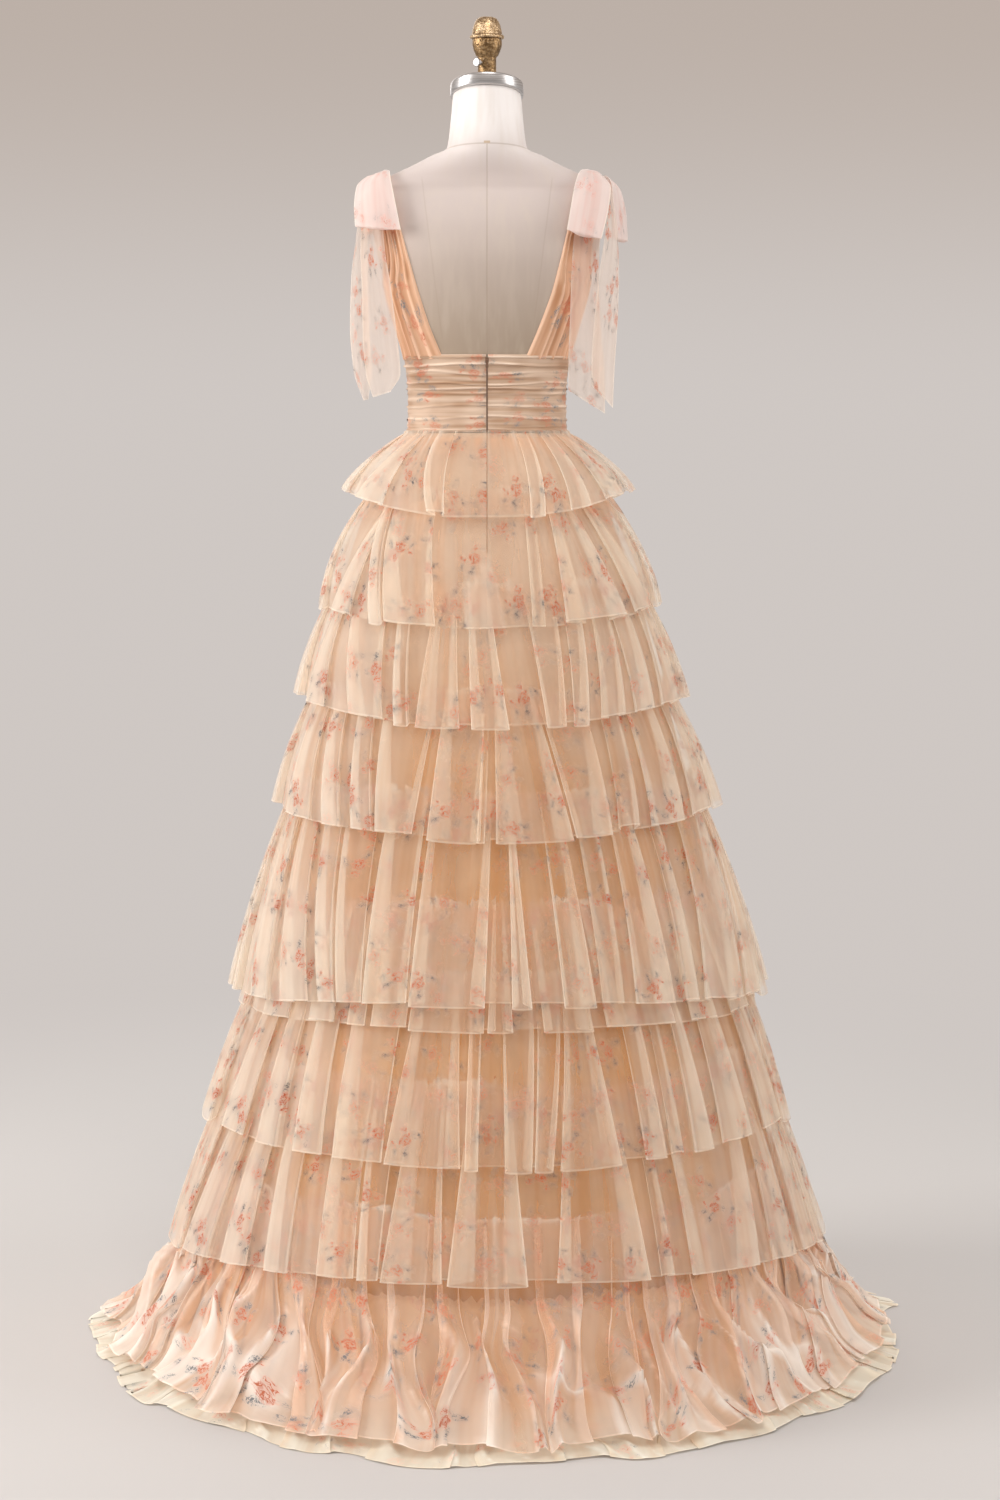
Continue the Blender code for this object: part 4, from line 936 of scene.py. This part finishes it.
def tier_profile(head, side_z, back_z, half, back, front, bulge):
    """The mean ring of a tier from its heading on the lining to its hem, which dips or rises behind."""
    top = lining_at(np.array(head))

    def profile(part, angle):
        dip = np.maximum(0.0, np.sin(angle)) ** 1.5
        hem = side_z + (back_z - side_z) * dip
        z = head + (hem - head) * part
        swell = bulge * 4 * part * (1 - part) + 0.0032 * (1 - part)
        return [a + 0.0 * angle + (b - a) * part + swell for a, b in zip(top, (half, back, front))] + [z]
    return profile


def build_tiers():
    for number, (name, *ring, depth, narrow, broad) in enumerate(TIER_ROWS):
        rows, step = (16, 0.0035) if name in SLIT_FOOT else (20, 0.0065)
        frill, sway = (0.0, 0.0) if name == "tier_1" else (0.011, 0.006)
        sew_tier(name, "tulle", *drape(
            name, 40 + number, tier_profile(*ring), depth, narrow, broad, rows, TULLE, frill, step, sway,
            slit=SLIT_FOOT.get(name), extra=zip_flare if name == "tier_2" else None,
        ))


def train_profile(name):
    """The mean ring of the train from its heading on the lining down to the floor and out along it."""
    head, *rows = TRAIN_ROWS[name]
    rows = [(head, *(float(value) for value in lining_at(head))), *rows]
    path = [0.0]
    for a, b in zip(rows, rows[1:]):
        path.append(path[-1] + math.hypot(b[0] - a[0], b[2] - a[2]))
    table = [(way / path[-1], *row[1:], row[0]) for way, row in zip(path, rows)]

    def profile(part, angle):
        return np.moveaxis(smooth_at(table, part + 0 * angle), -1, 0)
    return profile


def crumple(seed, angle, inside, low, high, slant):
    """A smooth uneven field over a tier; low, high and slant bound its waves round the ring and down it."""
    dice = random.Random(seed)
    total = np.zeros_like(angle)
    for _ in range(8):
        around = dice.randint(low, high)
        down = dice.choice((-1, 1)) * dice.uniform(0.3, 1.0) * slant
        total += np.sin(around * angle + down * inside + dice.uniform(0, 6.28))
    return total / 4.0


def pooled(seed, rise, ripple, floor, swirl):
    """The foot of the train: its folds curl over on the floor and cross in soft crests."""
    def shape(points, normal, inside, angle):
        near = soft_step((inside - 0.30) / 0.45)
        edge = soft_step((inside - 0.86) / 0.14)
        slide = crumple(seed, angle, inside, 8, 26, 11.0)
        bulge = crumple(seed + 1, angle, inside, 6, 22, 12.0)
        broad = np.clip(1 - 1.5 * np.abs(crumple(seed + 2, angle, inside, 16, 42, 7.0)), 0, 1)
        turned = crumple(seed + 3, angle, inside, 22, 54, 10.0)
        creased = np.abs(turned)
        doubled = soft_step((turned + 0.04) / 0.08)
        sharp = np.clip(1 - 1.9 * creased, 0, 1)
        line = np.clip(1 - 6.0 * creased, 0, 1) * (0.3 + 0.7 * broad)
        crests = near * (1 - 0.75 * edge) * (0.60 * broad + 0.40 * sharp * (0.35 + 0.65 * broad))
        tangent = np.stack([-normal[..., 1], normal[..., 0], 0 * normal[..., 0]], -1)
        points = points + tangent * (swirl * near * slide)[..., None]
        scallop = 0.016 * edge * hum(angle, seed + 5, ((9, 1.0), (14, 0.8), (23, 0.7), (37, 0.4)))
        points = points + normal * (ripple * near * bulge + scallop)[..., None]
        relief = points[..., 2] - points[..., 2].mean(axis=1, keepdims=True)
        points[..., 2] += rise * crests - 0.5 * near * relief
        points[..., 2] = np.maximum(points[..., 2], floor)
        laid = soft_step((inside - 0.60) / 0.25)
        # thick pales the crease lines and crests and clears the valleys: doubled net, partly painted
        # highlight on the crests.
        thick = 1.0 * line + 0.42 * doubled + 0.22 * broad ** 2 + 0.16 * laid - 0.26
        return points, near * thick - 0.34 * (1 - near)
    return shape


def build_train():
    for name, seed, depth, rise, ripple, floor, swirl, material in (
        ("tier_9", 61, 0.016, 0.044, 0.013, 0.004, 0.040, TULLE_TRAIN),
        ("train_underlayer", 71, 0.008, 0.009, 0.008, 0.0012, 0.024, TULLE_UNDER),
    ):
        sew_tier(name, "tulle_pale", *drape(
            name, seed, train_profile(name), depth, 0.030, 0.085, 66, material, 0.009, 0.0055, 0.009,
            extra=pooled(seed, rise, ripple, floor, swirl), spread=0.58, pale=0.22,
        ))


def build_lining():
    angle = np.linspace(0, 2 * math.pi, 241)[:-1] + math.pi / 2
    angle, z = np.meshgrid(angle, np.linspace(LINING_ROWS[0][0], LINING_ROWS[-1][0], 60))
    ring = angle, *lining_at(z)
    low = soft_step((1.25 - z) / 1.1)
    swing = 0.006 * low * hum(angle, 3, ((7, 1), (11, 0.8), (16, 0.6)))
    points = skirt_at(*ring, z) + outward(*ring) * (swing - 0.004 * low)[..., None]
    flat = np.linspace(0, 1, 240) * 3.0
    down = np.linalg.norm(np.diff(points, axis=0), axis=2).mean(axis=1)
    length = float(down.sum())
    made = grid_mesh("skirt_lining_cloth", points, LINING, flat, np.linspace(length, 0, 60), True)
    place(made, "lining", "skirt_lining_front", "skirt_lining_back_left", "skirt_lining_back_right")


# Form and stand.

def build_form():
    """The linen cover; its neck's last rows tilt to the ring's slope."""
    heights = np.concatenate([np.linspace(FORM_ROWS[0][0], 1.64, 70), np.linspace(1.645, NECK_TOP, 46)])
    angle, z = np.meshgrid(np.linspace(0, 2 * math.pi, 129)[:-1], heights)
    x, y = ring_at(angle, *form_rows(z))
    tilt = NECK_TILT * soft_step((z - 1.74) / 0.0375) * y
    points = np.stack([x, y, z + tilt], -1)
    flat_u = np.linspace(0, 0.8, 128)
    flat_v = np.linspace(0, 0.8, len(z))
    made = grid_mesh("form_cover", points, LINEN, flat_u, flat_v, True)
    place(made, "linen", "form_torso")


LATHE_STEPS = 72
SHARP_EDGE = math.radians(40)


def lathe(name, rows, material, tilt=0.0):
    """A turned piece, closed at both ends, through rows of height and radius."""
    points = []
    for height, radius in rows:
        for step in range(LATHE_STEPS):
            angle = 2 * math.pi * step / LATHE_STEPS
            x, y = radius * math.cos(angle), radius * math.sin(angle)
            points.append((x, y, height + tilt * y))
    rings = [range(start, start + LATHE_STEPS) for start in range(0, len(points), LATHE_STEPS)]
    faces = []
    for low, high in zip(rings, rings[1:]):
        for step in range(LATHE_STEPS):
            after = (step + 1) % LATHE_STEPS
            faces.append((low[step], low[after], high[after], high[step]))
    faces += [rings[0][::-1], rings[-1]]
    mesh = bpy.data.meshes.new(name)
    mesh.from_pydata(points, [], faces)
    mesh.shade_smooth()
    mesh.set_sharp_from_angle(angle=SHARP_EDGE)
    mesh.materials.append(material)
    return linked(name, mesh)


def build_finial():
    """The neck's steel ring, and the hammered stem and dome on top of it."""
    ring = lathe("neck_ring", (
        (1.7778, 0.0505), (1.7786, 0.0517), (1.7800, 0.0520), (1.7915, 0.0520),
        (1.7935, 0.0516), (RING_TOP - 0.0006, 0.0508), (RING_TOP, 0.0490),
    ), STEEL, tilt=NECK_TILT)
    place(ring, "brushed_steel", "neck_cap")
    stem = lathe("finial_stem_hammered", (
        (1.7956, 0.0128), (1.7966, 0.0131), (1.8305, 0.0131), (1.8325, 0.0136), (1.8345, 0.0158),
        (1.8375, 0.0174), (1.8410, 0.0188), (1.8455, 0.0204), (1.8500, 0.0212), (1.8545, 0.0211),
        (1.8575, 0.0205),
    ), BRONZE)
    place(stem, "bronze", "finial_stem")
    dome = lathe("finial_dome", (
        (1.8578, 0.0222), (1.8584, 0.0238), (1.8592, 0.0244), (1.8604, 0.0245), (1.8618, 0.0243),
        (1.8628, 0.0234), (1.8636, 0.0219), (1.8645, 0.0214), (1.8700, 0.0207), (1.8760, 0.0192),
        (1.8808, 0.0173), (1.8850, 0.0149), (1.8876, 0.0116), (1.8886, 0.0076), (1.8888, 0.0030),
    ), BRONZE_DOME)
    place(dome, "bronze", "finial_cap")


CAD_LOOKS = (
    # node, finish, softening of its edges
    ("clamp_screw", STEEL, 0.0006), ("stand_pole", IRON, None), ("stand_base", IRON, 0.0015),
    ("zip_slider", ZIP, 0.00018), ("zip_pull", ZIP, 0.00018),
)


def dress_cad():
    """CAD nodes that stay, with their finishes and softened edges."""
    for name, material, softness in CAD_LOOKS:
        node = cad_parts[name]
        for slot in node.material_slots:
            slot.material = material
        if softness:
            soft = node.modifiers.new("soft_edges", "BEVEL")
            soft.width = softness
            soft.segments = 2
            soft.limit_method = "ANGLE"
            soft.angle_limit = math.radians(30)


def build_zip():
    """The zip's closed coil: dark on the waistband, a thin line where the tiers nearly meet over it, painted
    paler there against the shade between them.
    """
    z = np.linspace(ZIP_BOTTOM, ZIP_TOP, 240)
    in_band = z > BAND_BOTTOM
    back = lining_at(np.minimum(z, BAND_BOTTOM))[1]
    on_band = form_at(math.pi / 2, z, 1, band_lift(z))[:, 1]
    y = np.where(in_band, on_band + 0.0006, back + 0.0012)
    wide = np.where(in_band, 0.00085, 0.00035)
    across = np.linspace(-1, 1, 5)[None, :]
    crown = (1 - across ** 2) * 0.0004 * (1 + 0.5 * np.sin(z[:, None] * 2 * math.pi / 0.0012))
    points = np.stack([wide[:, None] * across, y[:, None] + crown, z[:, None] + 0 * across], -1)
    made = grid_mesh("zip_chain_coil", points, ZIP, across[0] * 0.001, z, flip=True)
    made.data.materials.append(ZIP_PAINTED_LIGHT)
    faces_in_row = points.shape[1] - 1
    rows = np.repeat(np.where(in_band[:-1], 0, 1), faces_in_row)
    made.data.polygons.foreach_set("material_index", rows.astype(np.int32))
    place(made, "zip_brown", "zip_chain")


# Waistband and bodice.

def band_lift(z):
    part = (z - BAND_BOTTOM) / (BAND_TOP - BAND_BOTTOM)
    return BAND_LIFT_BOTTOM + (BAND_LIFT_TOP - BAND_LIFT_BOTTOM) * part


RUCHES = (
    # height share at the zip, at the side, depth, width
    (0.035, 0.030, 0.7, 0.012), (0.115, 0.080, 0.5, 0.026), (0.200, 0.170, 0.8, 0.016),
    (0.262, 0.260, 0.4, 0.030), (0.350, 0.330, 0.9, 0.014), (0.405, 0.425, 0.5, 0.028),
    (0.500, 0.505, 0.6, 0.020), (0.575, 0.560, 1.0, 0.013), (0.615, 0.640, 1.0, 0.012),
    (0.680, 0.735, 0.4, 0.028), (0.745, 0.790, 0.6, 0.018), (0.885, 0.865, 1.2, 0.014),
)


def ruched_height(share, away, seed):
    """Relief of the ruches at this share of the band's height and distance from its zip, 0 to 1."""
    relief = np.zeros(np.broadcast(share, away).shape)
    for number, (zip_share, side_share, depth, width) in enumerate(RUCHES):
        wander = 0.012 * hum(away * 5.0, seed + number, ((1, 1), (2, 0.8), (4, 0.4)))
        centre = zip_share + (side_share - zip_share) * soft_step(away / 0.5) + wander
        fade = 0.58 + 0.42 * hum(away * 5.0, seed + 50 + number, ((1, 1), (2, 0.9), (5, 0.5)))
        ridge = np.exp(-((share - centre) / width) ** 2)
        relief = np.maximum(relief, np.clip(depth * fade, 0, 1.1) * ridge)
    return relief


def build_waistband():
    share = np.linspace(0, 1, 120)[:, None]
    z = BAND_BOTTOM + (BAND_TOP - BAND_BOTTOM) * share
    for name, way, side, seed in (("left", 1, 1, 10), ("right", 1, -1, 30), ("front", -1, 0, 50)):
        if side:
            start = float(form_turn(ZIP_GAP, np.array(1.36)))
            turn = np.linspace(start, 0.0, 110)[None, :]
            away = 1 - turn / start
            sign = side
        else:
            turn = np.linspace(0.0, math.pi, 200)[None, :]
            away = np.abs(turn / math.pi * 2 - 1)
            sign = np.where(turn > math.pi / 2, -1, 1)
        relief = ruched_height(share, away + 0 * share, seed)
        border = soft_step((share - 0.955) / 0.010)
        lift = band_lift(z) + 0.0032 * relief + 0.0014 * border - 0.0012
        rolled = soft_step((share - 0.980) / 0.020)
        tucked = soft_step((0.02 - share) / 0.02)
        lift = lift * (1 - 0.92 * rolled) * (1 - 0.08 * tucked)
        quarter = np.where(turn > math.pi / 2, math.pi - turn, turn)
        points = form_at(quarter + 0 * z, z + 0 * turn, way, lift)
        points[..., 0] *= sign
        if side:
            pinch = np.exp(-((1 - turn / start) / 0.02) ** 2)
            points[..., 1] -= 0.0006 * pinch
        flat = run_of(points[len(share) // 2])
        # dense marks the hollows between the ruches, which the material darkens: painted shade.
        made = grid_mesh("waistband_%s_ruched" % name, points, RUCHED, flat + seed, z[:, 0] * 1.9,
                         dense=np.clip(1 - relief * 1.5 - border, 0, 1), flip=side == 1)
        node = "waistband_front" if name == "front" else "waistband_back_" + name
        place(made, "tulle", node)


# Height and distance from the centre of the panels' edges, in millimetres. All panels share one side
# edge, and each ends on the shoulder's ridge.
BODICE_SIDE = (
    (1407, 116), (1455, 129), (1500, 142), (1522, 146), (1545, 145), (1590, 150), (1625, 159),
    (1644, 165), (1649, 166.5),
)
BODICE_INNER = {
    "back_left": (
        (1407, 62), (1455, 81.5), (1500, 96), (1522, 102.5), (1545, 109), (1590, 121.5), (1625, 130),
        (1648, 134.5), (1659, 136),
    ),
    "back_right": (
        (1407, 54), (1455, 74.5), (1500, 91), (1522, 97), (1545, 103), (1590, 114), (1625, 125),
        (1648, 131), (1660, 133.5),
    ),
    "front": (
        (1407, 1.5), (1455, 8), (1500, 33), (1522, 48), (1545, 64), (1590, 96), (1625, 120), (1648, 131),
        (1659, 134.5),
    ),
}
BODICE_TOP = {"back_left": 137, "back_right": 135, "front": 137}
BODICE_TOP_SIDE = 168


def build_bodice_panel(name, shape, side, way, seed):
    """A panel gathered from its seam on the waistband up to the shoulder's ridge."""
    rows = [(*inner, *outer) for inner, outer in zip(BODICE_INNER[shape], BODICE_SIDE)]
    table = [(number / len(rows), *(value / MM for value in row)) for number, row in enumerate(rows)]
    tops = [top / MM for top in (BODICE_TOP[shape], BODICE_TOP_SIDE)]
    table.append((1.0, *(end for x in tops for end in (float(ridge_height(x)) - 0.0004, x))))
    down = np.linspace(0, 1, 90)[:, None]
    z_in, x_in, z_out, x_out = np.moveaxis(smooth_at(table, down), -1, 0)
    across = np.linspace(0, 1, 60)[None, :]
    z = z_in + (z_out - z_in) * across
    turn_in = form_turn(x_in, z_in)
    turn_out = form_turn(x_out, z_out)
    turn = turn_in + (turn_out - turn_in) * across
    dice = random.Random(seed)
    relief = np.zeros_like(turn)
    for number in range(7):
        centre = 0.10 + 0.90 * (number + dice.uniform(0.15, 0.85)) / 7
        wander = 0.04 * hum(down * 4.0, seed + number, ((1, 1), (2, 0.6)))
        wide = dice.choice((0.016, 0.022, 0.040))
        size = dice.uniform(0.55, 1.1)
        relief = np.maximum(relief, size * np.exp(-((across - centre - wander) / wide) ** 2))
    rolled = np.exp(-(across / 0.035) ** 2)
    relief = np.maximum(relief, 0.8 * rolled)
    lift = (0.0024 + 0.0034 * relief) * (0.06 + 0.94 * soft_step(across / 0.035))
    points = form_at(turn, z, way, lift)
    points[..., 0] *= side
    flat = across[0] * 0.12
    # dense marks the hollows between the gathers, which the material darkens: painted shade.
    made = grid_mesh("bodice_%s_gathered" % name, points, GATHERED, flat + seed * 0.37, down[:, 0] * 0.27,
                     dense=np.clip(1 - relief * 1.4, 0, 1), flip=side * way < 0)
    place(made, "tulle", "bodice_" + name)


def build_bodice():
    for number, (name, side) in enumerate((("left", 1), ("right", -1))):
        build_bodice_panel("back_" + name, "back_" + name, side, 1, 3 + number)
        build_bodice_panel("front_" + name, "front", side, -1, 8 + number)


# Bows.

HEM_WIDTH = 0.0030
RIBBON_CUT = 0.085
ON, FREE = "on", "free"
BOW_ROWS = {
    # How an edge lies, then x, y (or how far it is off the form) and height of the inner edge and of
    # the outer edge, in millimetres; None is the height of the shoulder's ridge.
    "bow_left_back_loop": (
        (ON, 141, 12, None, 165, 12.5, None), (FREE, 139, 20, 1673.5, 169, 18, 1664),
        (FREE, 136, 50, 1658, 184, 40, 1648), (FREE, 128, 74, 1620, 187, 56, 1620),
        (FREE, 121, 88, 1585, 185, 64, 1592), (FREE, 121, 80, 1586, 184, 55, 1593),
        (FREE, 129, 68, 1620, 184, 49, 1620), (ON, 142, 12.5, 1653, 165, 12.5, 1648),
        (ON, 142, 8.5, 1662, 164, 8.5, 1651),
    ),
    "bow_left_front_loop": (
        (FREE, 147, -37, 1666, 168, -37, 1657), (FREE, 139, -56, 1660, 175, -52, 1650),
        (FREE, 132, -78, 1632, 182, -64, 1626), (FREE, 128, -96, 1590, 182, -74, 1588),
        (FREE, 128, -88, 1590, 182, -66, 1588), (FREE, 132, -70, 1628, 180, -56, 1622),
        (FREE, 139, -49, 1651, 173, -44, 1643), (ON, 145, 7.4, 1647, 166, 7.4, 1643),
    ),
    "bow_left_wide_tail": (
        (ON, 142, 6.6, 1661, 162, 6.6, 1651), (ON, 142, 7.2, 1653, 165, 7.2, 1648),
        (FREE, 143, 43, 1642, 170, 31, 1638), (FREE, 146, 54, 1600, 178, 41, 1600),
        (FREE, 144, 60, 1565, 179, 49, 1560), (FREE, 136, 64, 1512, 177, 55, 1500),
        (FREE, 128, 66, 1450, 176, 57, 1435), (FREE, 122, 66, 1386, 172, 56, 1386),
        (FREE, 136, 64, 1360, 162, 57, 1352),
    ),
    "bow_left_narrow_tail": (
        (ON, 166.5, 6.8, 1648, 171, 6.8, 1644), (FREE, 166, 22, 1630, 180, 12, 1626),
        (FREE, 170, 30, 1580, 187, 18, 1570), (FREE, 170, 36, 1526, 193, 22, 1520),
        (FREE, 168, 38, 1450, 195, 24, 1450), (FREE, 165, 38, 1390, 190, 26, 1390),
        (FREE, 170, 36, 1349, 176, 32, 1348),
    ),
    "bow_right_back_loop": (
        (ON, 138, 12, None, 162, 12.5, None), (FREE, 134, 20, 1674, 166, 18, 1664),
        (FREE, 125, 56, 1655, 175, 44, 1648), (FREE, 118, 80, 1620, 171, 62, 1615),
        (FREE, 112, 95, 1585, 161, 78, 1573), (FREE, 112, 87, 1586, 161, 69, 1575),
        (FREE, 120, 74, 1620, 168, 56, 1616), (ON, 138, 12.5, 1655, 163, 12.5, 1648),
        (ON, 140, 8.5, 1662.5, 162, 8.5, 1652),
    ),
    "bow_right_front_loop": (
        (ON, 160, 12, None, 169, 12, 1642), (FREE, 168, 12, 1666, 178, -26, 1658),
        (FREE, 176, 12, 1656, 194, -34, 1644), (FREE, 180, 12, 1615, 202, -40, 1610),
        (FREE, 182, 12, 1578, 204, -40, 1576), (FREE, 180, 6, 1579, 198, -38, 1577),
        (FREE, 178, 4, 1615, 196, -36, 1610), (FREE, 174, 3, 1641, 188, -30, 1634),
        (FREE, 170, 0, 1653, 180, -26, 1648), (FREE, 166, -14, 1662, 170.5, -27, 1659),
    ),
    "bow_right_inner_tail": (
        (ON, 139, 6.6, 1663, 160, 6.6, 1652), (ON, 138, 7.4, 1655, 162, 7.4, 1648),
        (FREE, 136, 47, 1644, 164, 34, 1640), (FREE, 133, 56, 1630, 165, 39, 1628),
        (FREE, 129, 62, 1608, 165, 45, 1605), (FREE, 122, 73, 1570, 158, 56, 1565),
        (FREE, 119, 77, 1520, 157, 61, 1510), (FREE, 117, 77, 1460, 160, 63, 1450),
        (FREE, 115, 75, 1404, 165, 64, 1395), (FREE, 115, 73, 1362, 167, 64, 1329),
    ),
    "bow_right_outer_tail": (
        (ON, 165.5, 6.8, 1649, 171, 6.8, 1644), (FREE, 168, 31, 1632, 180, 20, 1628),
        (FREE, 166, 55, 1585, 186, 42, 1580), (FREE, 158, 68, 1530, 187, 55, 1525),
        (FREE, 151, 73, 1460, 185, 62, 1455), (FREE, 147, 74, 1400, 181, 64, 1390),
        (FREE, 147, 74, 1369, 179, 64, 1337),
    ),
}


def ribbon_edge(way, facing, x, second, z):
    """One point of a ribbon's edge; second is y where it hangs free, or its distance off the form."""
    x, second = x / MM, second / MM
    z = float(ridge_height(x)) - 0.0002 if z is None else z / MM
    if way == FREE:
        return np.array((x, second, z))
    return form_at(form_turn(x, np.array(z)), np.array(z), facing, second)


def build_ribbons():
    for number, (name, rows) in enumerate(BOW_ROWS.items()):
        side = 1 if "left" in name else -1
        facing = -1 if "front_loop" in name else 1
        loop = "loop" in name
        inner = np.array([ribbon_edge(way, facing, *edges[:3]) for way, *edges in rows])
        outer = np.array([ribbon_edge(way, facing, *edges[3:]) for way, *edges in rows])
        path = run_of((inner + outer) / 2)
        where = np.linspace(0, path[-1], 90)
        a, b = (smooth_at(np.column_stack([path, edge]), where) for edge in (inner, outer))
        share = np.linspace(0, 1, 36)
        across = share[None, :, None]
        points = a[:, None] * (1 - across) + b[:, None] * across
        normal = np.cross(np.gradient(points, axis=0), (b - a)[:, None] + 0 * points)
        normal /= np.maximum(np.linalg.norm(normal, axis=-1, keepdims=True), 1e-9)
        along = (where / path[-1])[:, None]
        crown = 0.0026 * np.sin(math.pi * share) * (0.3 + 0.7 * np.sin(math.pi * np.clip(along, 0, 1)))
        folds = 0.0015 * hum(share * 4.0 + 0.8 * along, 200 + number, ((1, 1), (2, 0.6)))
        points = points + normal * (folds - crown)[..., None] * (1.0 if loop else 1.3)
        points[..., 0] *= side
        flat_wide = float(np.linalg.norm(b - a, axis=1).max())
        length = float(path[-1])
        from_edge = np.minimum(share, 1 - share) * flat_wide + 0 * along
        if not loop:
            from_edge = np.minimum(from_edge, (1 - along) * length)
        dense = (1 - soft_step(from_edge / HEM_WIDTH)) * 0.9
        up = (length - where) + (0.02 if loop else 0.0)
        material = TULLE_LOOP if loop else TULLE_BOW
        made = grid_mesh(name + "_cloth", points, material, share * RIBBON_CUT + number * 0.73,
                         up + number * 0.19, dense=dense)
        place(made, "tulle_pale", name)


KNOT_X = 0.154
KNOT_HALF = (0.0120, 0.0096, 0.0062)
KNOT_LIFT = 0.0109


def build_knots():
    """A wrapped, slightly fluted knot on each shoulder, just in front of the ridge."""
    for name, side in (("left", 1), ("right", -1)):
        z = np.array(float(ridge_height(KNOT_X)) - 0.003)
        seat, off = (form_at(form_turn(KNOT_X, z), z, -1, lift) for lift in (0.0, 1.0))
        normal = Vector(off - seat).normalized()
        middle = Vector(seat) + normal * KNOT_LIFT
        turn = normal.to_track_quat("Z", "X")
        polar = np.linspace(0.16, math.pi - 0.16, 30)[:, None]
        round_ = np.linspace(0, 2 * math.pi, 65)[:-1][None, :]
        wrap = 1 + 0.055 * np.sin(5 * round_ + 2.0 * np.cos(polar)) + 0.03 * np.sin(9 * round_ - 3 * polar)
        local = np.stack([
            KNOT_HALF[0] * np.sin(polar) * np.cos(round_) * wrap,
            KNOT_HALF[1] * np.sin(polar) * np.sin(round_) * wrap,
            -KNOT_HALF[2] * np.cos(polar) + 0 * round_,
        ], -1)
        matrix = np.array(turn.to_matrix())
        points = local @ matrix.T + np.array(middle)
        points[..., 0] *= side
        made = grid_mesh("bow_%s_knot_wrap" % name, points, KNOTTED, np.linspace(0, 0.06, 64),
                         np.linspace(0, 0.03, 30), True, flip=side < 0)
        place(made, "tulle_pale", "bow_%s_knot" % name)


# Studio.

WALL = (0.622, 0.575, 0.548)
WALL_TOP = (0.505, 0.434, 0.388)
FLOOR = (0.615, 0.583, 0.564)
FLOOR_SIDE = 60.0
LIGHT_AT = Vector((0, 0, 0.95))
LAMPS = (
    # name, place, size, power
    ("key", (4.6, 1.1, 2.5), 2.4, 166.0),
    ("fill", (-4.2, 1.1, 2.3), 2.4, 56.0),
    ("top", (-0.3, 2.6, 4.5), 2.0, 76.0),
    ("front", (0.6, -4.0, 2.8), 3.0, 52.0),
)
CAMERA_AT = (0.0, 4.6, 1.327)
CAMERA_TILT = math.radians(84)
SENSOR_MM = 36.0
LENS_MM = 76.44
CAMERA_SHIFT = 0.013 / 1.5


def build_floor():
    """A wide floor that fades into the wall's colour far from the gown."""
    mesh = bpy.data.meshes.new("studio_floor")
    signs = ((-1, -1), (1, -1), (1, 1), (-1, 1))
    mesh.from_pydata([(x * FLOOR_SIDE, y * FLOOR_SIDE, 0) for x, y in signs], [], [(0, 1, 2, 3)])
    linked("studio_floor", mesh)
    made, tree = new_material("studio_floor")
    far = ramp(tree, vector(tree, "LENGTH", in_space(tree)), 1.15, 2.9)
    fade = times(tree, far, add(tree, "LightPath").outputs["Is Camera Ray"])
    paint = add(tree, "BsdfDiffuse", Color=FLOOR)
    haze = add(tree, "Emission", Color=WALL, Strength=1.0)
    mixed = add(tree, "MixShader", i0=fade, i1=paint.outputs[0], i2=haze.outputs[0])
    add(tree, "OutputMaterial", Surface=mixed.outputs[0])
    mesh.materials.append(made)


def build_world():
    """The wall, and a soft even light that is seen only by what it falls on."""
    world = bpy.data.worlds.new("studio")
    bpy.context.scene.world = world
    world.use_nodes = True
    tree = world.node_tree
    tree.nodes.clear()
    ray = add(tree, "LightPath").outputs
    seen = calc(tree, "MAXIMUM", ray["Is Camera Ray"], ray["Is Glossy Ray"])
    seen = calc(tree, "MAXIMUM", seen, ray["Is Transmission Ray"])
    soft = add(tree, "Background", Color=(1.0, 0.985, 0.97), Strength=0.50)
    way = add(tree, "TexCoord").outputs["Generated"]
    up = add(tree, "SeparateXYZ", Vector=way).outputs[2]
    # Darker towards the top of the wall: painted shade.
    tone = blend(tree, ramp(tree, up, 0.0, 0.13), WALL, WALL_TOP)
    wall = add(tree, "Background", Color=tone, Strength=1.0)
    mixed = add(tree, "MixShader", i0=seen, i1=soft.outputs[0], i2=wall.outputs[0])
    add(tree, "OutputWorld", Surface=mixed.outputs[0])


def build_lamps():
    for name, spot, size, power in LAMPS:
        lamp = bpy.data.lights.new(name, "AREA")
        lamp.size = size
        lamp.energy = power
        lamp.color = (1.0, 0.985, 0.965)
        made = linked(name, lamp)
        made.location = spot
        made.rotation_euler = (LIGHT_AT - Vector(spot)).to_track_quat("-Z", "Y").to_euler()


def build_camera():
    lens = bpy.data.cameras.new("camera")
    lens.sensor_width = SENSOR_MM
    lens.lens = LENS_MM
    lens.shift_x = CAMERA_SHIFT
    made = linked("camera", lens)
    made.location = CAMERA_AT
    made.rotation_euler = (CAMERA_TILT, 0.0, math.pi)
    bpy.context.scene.camera = made


build_camera()
build_floor()
build_world()
build_lamps()
build_form()
build_finial()
dress_cad()
build_zip()
build_lining()
build_tiers()
build_train()
build_waistband()
build_bodice()
build_ribbons()
build_knots()
bpy.context.scene.view_settings.view_transform = "Standard"
bpy.context.scene.cycles.transparent_max_bounces = 32
